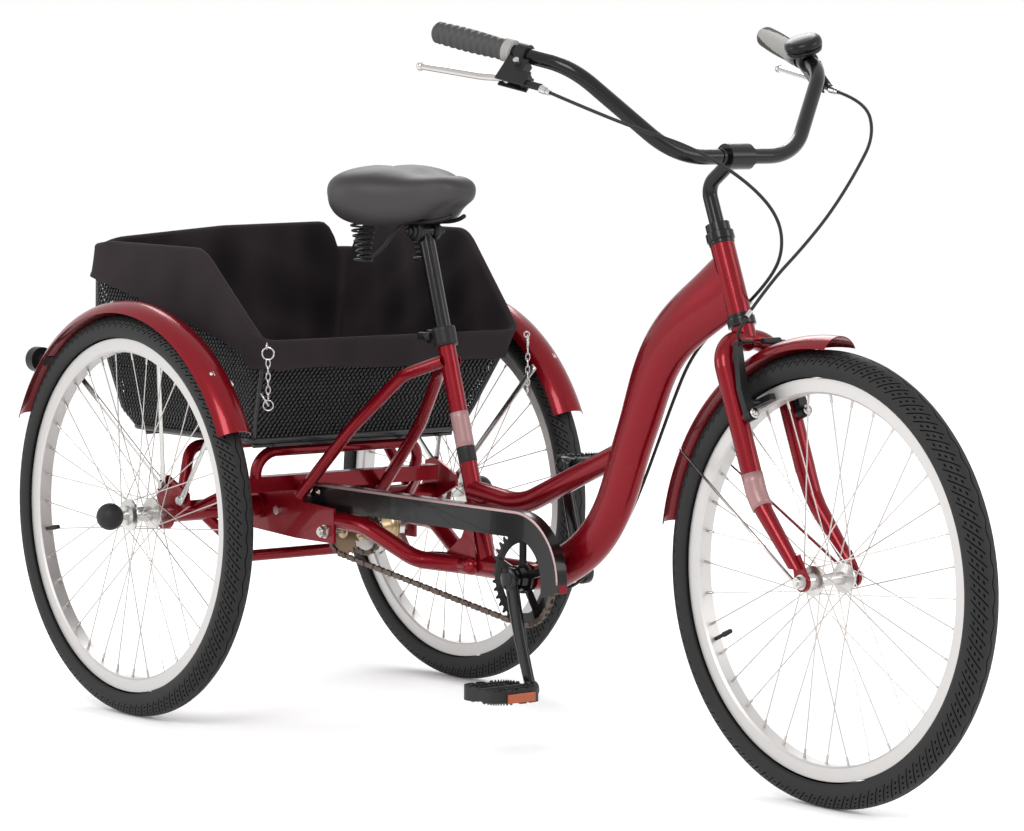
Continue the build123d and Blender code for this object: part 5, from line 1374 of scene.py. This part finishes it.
def make_stage():
    """A pale floor, soft lights and the camera."""
    world = bpy.data.worlds.new("studio")
    bpy.context.scene.world = world
    world.use_nodes = True
    world.node_tree.nodes["Background"].inputs["Color"].default_value = (1.0, 1.0, 1.0, 1.0)
    world.node_tree.nodes["Background"].inputs["Strength"].default_value = 1.0
    bpy.context.scene.view_settings.view_transform = "Standard"
    floor_mesh = mesh_from("floor", [(-60, -60, 0), (60, -60, 0), (60, 60, 0), (-60, 60, 0)],
                           [(0, 1, 2, 3)])
    floor = object_from(floor_mesh, "floor", smooth=False)
    paper = material("floor_paper", (0.96, 0.96, 0.96), roughness=0.95, grain_depth=0.0, darker=1.0,
                     specular=0.3)
    shader = next(item for item in paper.node_tree.nodes if item.type == "BSDF_PRINCIPLED")
    shader.inputs["Emission Color"].default_value = (1.0, 1.0, 1.0, 1.0)
    shader.inputs["Emission Strength"].default_value = 0.05
    floor.data.materials.append(paper)
    for name, place, size, power in (("key", (2.5, -4.0, 4.2), 2.4, 150),
                                     ("fill", (4.5, 2.5, 2.6), 2.4, 60),
                                     ("back", (-3.5, 2.5, 3.8), 2.4, 90),
                                     ("side", (-2.5, -4.0, 1.8), 1.6, 40)):
        light = bpy.data.lights.new(name, "AREA")
        light.size = size
        light.energy = power
        lamp = bpy.data.objects.new(name, light)
        lamp.location = place
        lamp.rotation_euler = (Vector((0, 0, 0.5)) - Vector(place)).to_track_quat("-Z", "Y").to_euler()
        bpy.context.scene.collection.objects.link(lamp)
    data = bpy.data.cameras.new("camera")
    data.lens = 138.2
    data.sensor_width = 36.0
    camera = bpy.data.objects.new("camera", data)
    azimuth, elevation, roll = math.radians(51.46), math.radians(4.84), math.radians(-0.24)
    camera.matrix_world = (Matrix.Translation((4.683, -3.793, 1.025)) @ Matrix.Rotation(azimuth, 4, "Z")
                           @ Matrix.Rotation(math.pi / 2 - elevation, 4, "X")
                           @ Matrix.Rotation(-roll, 4, "Z"))
    bpy.context.scene.collection.objects.link(camera)
    bpy.context.scene.camera = camera


# ---------------------------------------------------------------- small parts
def band_mesh(start, end, radius, bore=None):
    """A sleeve round a straight tube, with rounded lips; a bore leaves room for what slides inside it."""
    lip, steps, sides = 0.0003, 6, 40
    way = (end - start).normalized() * lip
    inner = [start + (end - start) * (step / steps) for step in range(steps + 1)]
    points = [start - way] + inner + [end + way]
    radii = [radius - lip] + [radius] * (steps + 1) + [radius - lip]
    if bore is None:
        return tube_mesh("band", points, radii, sides)
    profile = list(zip(points, radii)) + [(points[-1], bore), (points[0], bore)]
    side, up = frames_along([start, end])[0]
    rings = [place for point, reach in profile for place in ring_of(point, side, up, reach, reach, sides)]
    mesh = mesh_from("band", rings, grid_faces(len(profile), sides, wrap_rows=True, wrap_columns=True))
    outward(mesh)
    return mesh


def screw_mesh(place, way, radius):
    """A pan-head screw on a washer."""
    work = bmesh.new()
    cylinder_into(work, place - way * 0.001, place + way * 0.0008, radius * 1.5, 20)
    cylinder_into(work, place + way * 0.0005, place + way * 0.0030, radius, 16, radius * 0.7)
    return mesh_of(work, "screw")


SEAT_TUBE_X = 0.504
SEAT_TUBE_SLOPE = math.tan(math.radians(72.4))


def on_seat_tube(z):
    """The seat tube's axis at a height."""
    return at(SEAT_TUBE_X - (z - CRANK.z) / SEAT_TUBE_SLOPE, 0, z)


STEER_UP = Vector((-0.36569, 0, 0.93074))
STEER_AHEAD = Vector((0.93074, 0, 0.36569))
HEAD_FOOT = Vector((FRONT - 0.191, 0, 0.686))


def on_head(along, ahead=0.0, across=0.0):
    """A point by its place along the steering axis, ahead of it, and to the left."""
    return HEAD_FOOT + STEER_UP * along + STEER_AHEAD * ahead + sideways(across)


def make_fender_straps():
    """Flat straps from each bearing plate out to its rear fender, bolted at their feet."""
    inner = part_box("rear_fender_right")[1].y
    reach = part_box("rear_fender_right")[1].z - AXLE_Z - 0.015
    straps = []
    for side in (-1, 1):
        for foot_x, foot_z, angle in ((0.005, 0.372, 135.5), (0.005, 0.372, 85.5), (0.057, 0.351, 43.5)):
            turn = math.radians(angle)
            foot = at(foot_x, side * 0.2785, foot_z)
            tip = at(reach * math.cos(turn), -side * inner, AXLE_Z + reach * math.sin(turn))
            points = [foot.lerp(tip, share) for share in (-0.015, 0.0, 0.05, 0.12, 0.9, 0.97, 1.0)]
            widths = [0.0021, 0.0030, 0.0030, 0.0023, 0.0023, 0.0028, 0.0024]
            straps.append(tube_mesh("strap", points, widths, 16, flatten=2.3))
            straps.append(screw_mesh(foot + sideways(side * 0.0030), sideways(side), 0.0055))
    add_piece("fender_straps", straps, "frame", "steel", ("fender_stays",))


def make_stay_ends():
    """The closed, welded ends of the chain stays on the keel tube."""
    ends = []
    for side in (-1, 1):
        bend = at(0.378, side * 0.046, 0.270)
        tip = at(0.490, side * 0.020, CRANK.z)
        along = (tip - bend).normalized()
        rows = ((-0.020, 0.0141), (0.000, 0.0142), (0.004, 0.0134), (0.008, 0.0112), (0.011, 0.0075),
                (0.0125, 0.002))
        ends.append(tube_mesh("end", [tip + along * reach for reach, _ in rows],
                              [radius for _, radius in rows], 32))
    add_piece("stay_ends", ends, "frame", "red")


def make_bands():
    """Pale reflective sleeves on the seat tube and the fork's right leg, and the dark one below the first.
    """
    pale = band_mesh(on_seat_tube(0.452), on_seat_tube(0.505), 0.0148, bore=0.0139)
    add_piece("seat_band", pale, "frame", "band")
    dark = band_mesh(on_seat_tube(0.428), on_seat_tube(0.451), 0.0149, bore=0.0139)
    add_piece("seat_band_dark", dark, "frame", "satin_black")
    bend = on_head(-0.277, 0.002)
    start = on_head(-0.257)
    end = bend + (Vector((FRONT - 0.006, 0, AXLE_Z + 0.012)) - bend).normalized() * 0.020
    points = [on_head(-0.231), on_head(-0.244)]
    for step in range(5):
        share = step / 6
        points.append(start * (1 - share) ** 2 + bend * (2 * share * (1 - share)) + end * share ** 2)
    points = [point - sideways(0.052) for point in points]
    mesh = tube_mesh("band", points, [0.0157 - 0.00010 * step for step in range(len(points))], 40)
    add_piece("fork_band", mesh, "steering", "band")


FENDER_SKIRT = 0.331


def make_steering_parts():
    """Bearing cups, pivot bolts and fender wires over the fork, and the seat clamp."""
    cups = [band_mesh(on_head(-0.0112), on_head(0.0006), 0.0209),
            band_mesh(on_head(0.1197), on_head(0.1316), 0.0209),
            band_mesh(on_head(0.001), on_head(0.006), 0.0190),
            band_mesh(on_head(0.1140), on_head(0.1200), 0.0190)]
    add_piece("bearing_cups", cups, "frame", "black")
    skirt = math.radians(150)
    bright = []
    for side in (-1, 1):
        foot = Vector((FRONT - 0.0135, side * 0.0565, AXLE_Z + 0.001))
        head = on_circle(FRONT_WHEEL, FENDER_SKIRT, skirt, side * 0.031)
        bright.append(tube_mesh("wire", [foot, head], 0.0019, 10))
        pivot = on_head(-0.1515, 0.036, side * 0.051)
        bright.append(screw_mesh(pivot, STEER_AHEAD, 0.0052))
    add_piece("fork_fittings", bright, "steering", "chrome")
    mid = (on_seat_tube(0.610) + on_seat_tube(0.634)) / 2
    ear = mid - Vector((0.0233, 0, 0))
    clamp = [band_mesh(on_seat_tube(0.6085), on_seat_tube(0.6365), 0.0190)]
    work = bmesh.new()
    box_into(work, ear + Vector((-0.002, 0, 0)), (0.020, 0.022, 0.022), bevel=0.003)
    box_into(work, ear + Vector((-0.010, -0.016, 0.001)), (0.030, 0.006, 0.012), bevel=0.0025)
    cylinder_into(work, ear - Vector((0.002, 0.022, 0)), ear + Vector((-0.002, 0.022, 0)), 0.0052, 16)
    clamp.append(mesh_of(work, "ear"))
    add_piece("seat_clamp", clamp, "frame", "satin_black")


BELL_UP = Vector((0.0723, -0.3928, 0.9168)).normalized()


def make_bell():
    """The dome bell on its base."""
    inboard = GRIP_END + GRIP_AXIS * 0.177
    centre = Vector((inboard.x, -inboard.y, inboard.z))
    profile = [(0.016, 0.019), (0.0165, 0.0225), (0.0225, 0.0240), (0.0235, 0.0225), (0.0238, 0.0180),
               (0.0245, 0.0180), (0.0250, 0.0240), (0.0262, 0.0250), (0.0310, 0.0250), (0.0350, 0.0240),
               (0.0380, 0.0215), (0.0394, 0.0160), (0.0396, 0.0150), (0.0402, 0.0130), (0.0410, 0.0060),
               (0.0411, 0.0005)]
    points = [centre + BELL_UP * (height - 0.002) for height, _ in profile]
    rings = [tube_mesh("dome", points, [radius * 1.16 for _, radius in profile], 48)]
    clamp = Vector((0.9128, -0.3444, -0.2196))
    rings.append(band_mesh(centre - clamp * 0.007, centre + clamp * 0.007, 0.0157))
    rings.append(band_mesh(centre + BELL_UP * 0.008, centre + BELL_UP * 0.018, 0.0080))
    add_piece("bell_dome", rings, "steering", "bell", ("bell",))


GUARD_Y = -0.063
GUARD_TOP = 0.1020


def make_fixings():
    """Screws on the rear fenders and the guard, and the red lenses of the rear reflectors."""
    screws = []
    for side, centre in ((-1, RIGHT_WHEEL), (1, LEFT_WHEEL)):
        for angle, out in ((45, 0.010), (97, 0.010)):
            turn = math.radians(angle)
            way = Vector((math.cos(turn), side * 0.75, math.sin(turn))).normalized()
            place = centre + Vector((0.343 * math.cos(turn), side * out, 0.343 * math.sin(turn)))
            screws.append(screw_mesh(place, way, 0.0042))
    screws.append(screw_mesh(at(0.136, GUARD_Y - 0.002, 0.358), sideways(-1), 0.0045))
    add_piece("fixings", screws, "frame", "chrome")
    lenses = bmesh.new()
    low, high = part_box("rear_reflectors")
    for side in (-1, 1):
        centre = Vector((low.x + 0.001, side * (high.y - 0.0255), (low.z + high.z) / 2))
        cylinder_into(lenses, centre, centre - Vector((0.002, 0, 0)), 0.0165, 32, 0.0155)
    add_piece("rear_lenses", lenses, "frame", "red_lens", smooth=False)


def make_trim():
    """The pale line along the chain guard's top edge."""
    points = [at(0.130, GUARD_Y - 0.0024, CRANK.z + GUARD_TOP)]
    for step in range(25):
        angle = math.radians(90 - 90 * step / 24)
        points.append(on_circle(CRANK, GUARD_TOP, angle, GUARD_Y - 0.0024))
    mesh = tube_mesh("trim", points, 0.0022, 8)
    for vertex in mesh.vertices:
        vertex.co.y = GUARD_Y - 0.002 + (vertex.co.y - GUARD_Y + 0.0024) * 0.2
    add_piece("guard_trim", mesh, "frame", "trim")
    work = bmesh.new()
    tab = Vector((CRANK.x + 0.0930, GUARD_Y + 0.014, CRANK.z + 0.001))
    box_into(work, tab, (0.0035, 0.022, 0.032), bevel=0.001)
    add_piece("guard_tab", work, "frame", "red", smooth=False)


# ---------------------------------------------------------------- operators
class TRIKE_OT_paint(bpy.types.Operator):
    """Make the materials and paint the solids that stay in view"""
    bl_idname = "trike.paint"
    bl_label = "Paint the solids"

    def execute(self, context):
        MATERIALS.update(make_materials())
        paint_cad()
        return {"FINISHED"}


class TRIKE_OT_tyres(bpy.types.Operator):
    """Build the three tyres and their valves"""
    bl_idname = "trike.tyres"
    bl_label = "Build the tyres"

    def execute(self, context):
        make_tyres()
        make_valves()
        return {"FINISHED"}


class TRIKE_OT_chains(bpy.types.Operator):
    """Build both roller chains link by link"""
    bl_idname = "trike.chains"
    bl_label = "Build the chains"

    def execute(self, context):
        make_chains()
        return {"FINISHED"}


class TRIKE_OT_basket(bpy.types.Operator):
    """Build the woven basket with its floor and wire frame"""
    bl_idname = "trike.basket"
    bl_label = "Build the basket"

    def execute(self, context):
        make_basket()
        return {"FINISHED"}


class TRIKE_OT_liner(bpy.types.Operator):
    """Build the basket's fabric liner"""
    bl_idname = "trike.liner"
    bl_label = "Build the liner"

    def execute(self, context):
        make_liner()
        return {"FINISHED"}


class TRIKE_OT_keepers(bpy.types.Operator):
    """Build the short chains at the basket's front corners"""
    bl_idname = "trike.keepers"
    bl_label = "Build the keeper chains"

    def execute(self, context):
        make_keeper_chains()
        return {"FINISHED"}


class TRIKE_OT_saddle(bpy.types.Operator):
    """Build the padded saddle with its rails and springs"""
    bl_idname = "trike.saddle"
    bl_label = "Build the saddle"

    def execute(self, context):
        make_saddle()
        make_saddle_frame()
        return {"FINISHED"}


class TRIKE_OT_controls(bpy.types.Operator):
    """Build the grips and the brake cables"""
    bl_idname = "trike.controls"
    bl_label = "Build the grips and cables"

    def execute(self, context):
        make_grips()
        make_cables()
        return {"FINISHED"}


class TRIKE_OT_drive(bpy.types.Operator):
    """Build the intermediate hub with its cogs, and the cranks"""
    bl_idname = "trike.drive"
    bl_label = "Build the hub and cranks"

    def execute(self, context):
        make_transfer_hub()
        make_cranks()
        return {"FINISHED"}


class TRIKE_OT_pedals(bpy.types.Operator):
    """Build both pedals"""
    bl_idname = "trike.pedals"
    bl_label = "Build the pedals"

    def execute(self, context):
        make_pedals()
        return {"FINISHED"}


class TRIKE_OT_details(bpy.types.Operator):
    """Build the bands, screws, lenses and trim"""
    bl_idname = "trike.details"
    bl_label = "Build the small parts"

    def execute(self, context):
        make_fender_straps()
        make_stay_ends()
        make_bands()
        make_steering_parts()
        make_bell()
        make_fixings()
        make_trim()
        return {"FINISHED"}


class TRIKE_OT_stage(bpy.types.Operator):
    """Set the floor, the lights and the camera"""
    bl_idname = "trike.stage"
    bl_label = "Set the stage"

    def execute(self, context):
        make_stage()
        return {"FINISHED"}


OPERATORS = (TRIKE_OT_paint, TRIKE_OT_tyres, TRIKE_OT_chains, TRIKE_OT_basket, TRIKE_OT_liner,
             TRIKE_OT_keepers, TRIKE_OT_saddle, TRIKE_OT_controls, TRIKE_OT_drive, TRIKE_OT_pedals,
             TRIKE_OT_details, TRIKE_OT_stage)


class TRIKE_PT_panel(bpy.types.Panel):
    """Sizes, colours and the steps of the build, in order"""
    bl_idname = "TRIKE_PT_panel"
    bl_label = "Tricycle"
    bl_space_type = "VIEW_3D"
    bl_region_type = "UI"
    bl_category = "Tricycle"

    def draw(self, context):
        """Shows the settings and a button for every piece or group."""
        for name, _ in GROUPS:
            box = self.layout.box()
            box.label(text=name.capitalize())
            group = getattr(context.scene, "trike_" + name)
            for key in group.bl_rna.properties.keys():
                if key not in ("rna_type", "name"):
                    box.prop(group, key)
        for operator in OPERATORS:
            self.layout.operator(operator.bl_idname)


def register():
    """Adds the settings, operators and panel."""
    for name, group in GROUPS:
        bpy.utils.register_class(group)
        setattr(bpy.types.Scene, "trike_" + name, bpy.props.PointerProperty(type=group))
    for operator in OPERATORS:
        bpy.utils.register_class(operator)
    bpy.utils.register_class(TRIKE_PT_panel)


def unregister():
    """Takes the settings, operators and panel away."""
    bpy.utils.unregister_class(TRIKE_PT_panel)
    for operator in reversed(OPERATORS):
        bpy.utils.unregister_class(operator)
    for name, group in reversed(GROUPS):
        delattr(bpy.types.Scene, "trike_" + name)
        bpy.utils.unregister_class(group)


def main():
    """Builds everything and sets the stage."""
    register()
    bpy.ops.trike.paint()
    bpy.ops.trike.tyres()
    bpy.ops.trike.chains()
    bpy.ops.trike.basket()
    bpy.ops.trike.liner()
    bpy.ops.trike.keepers()
    bpy.ops.trike.saddle()
    bpy.ops.trike.controls()
    bpy.ops.trike.drive()
    bpy.ops.trike.pedals()
    bpy.ops.trike.details()
    bpy.ops.trike.stage()


if __name__ == "__main__":
    main()
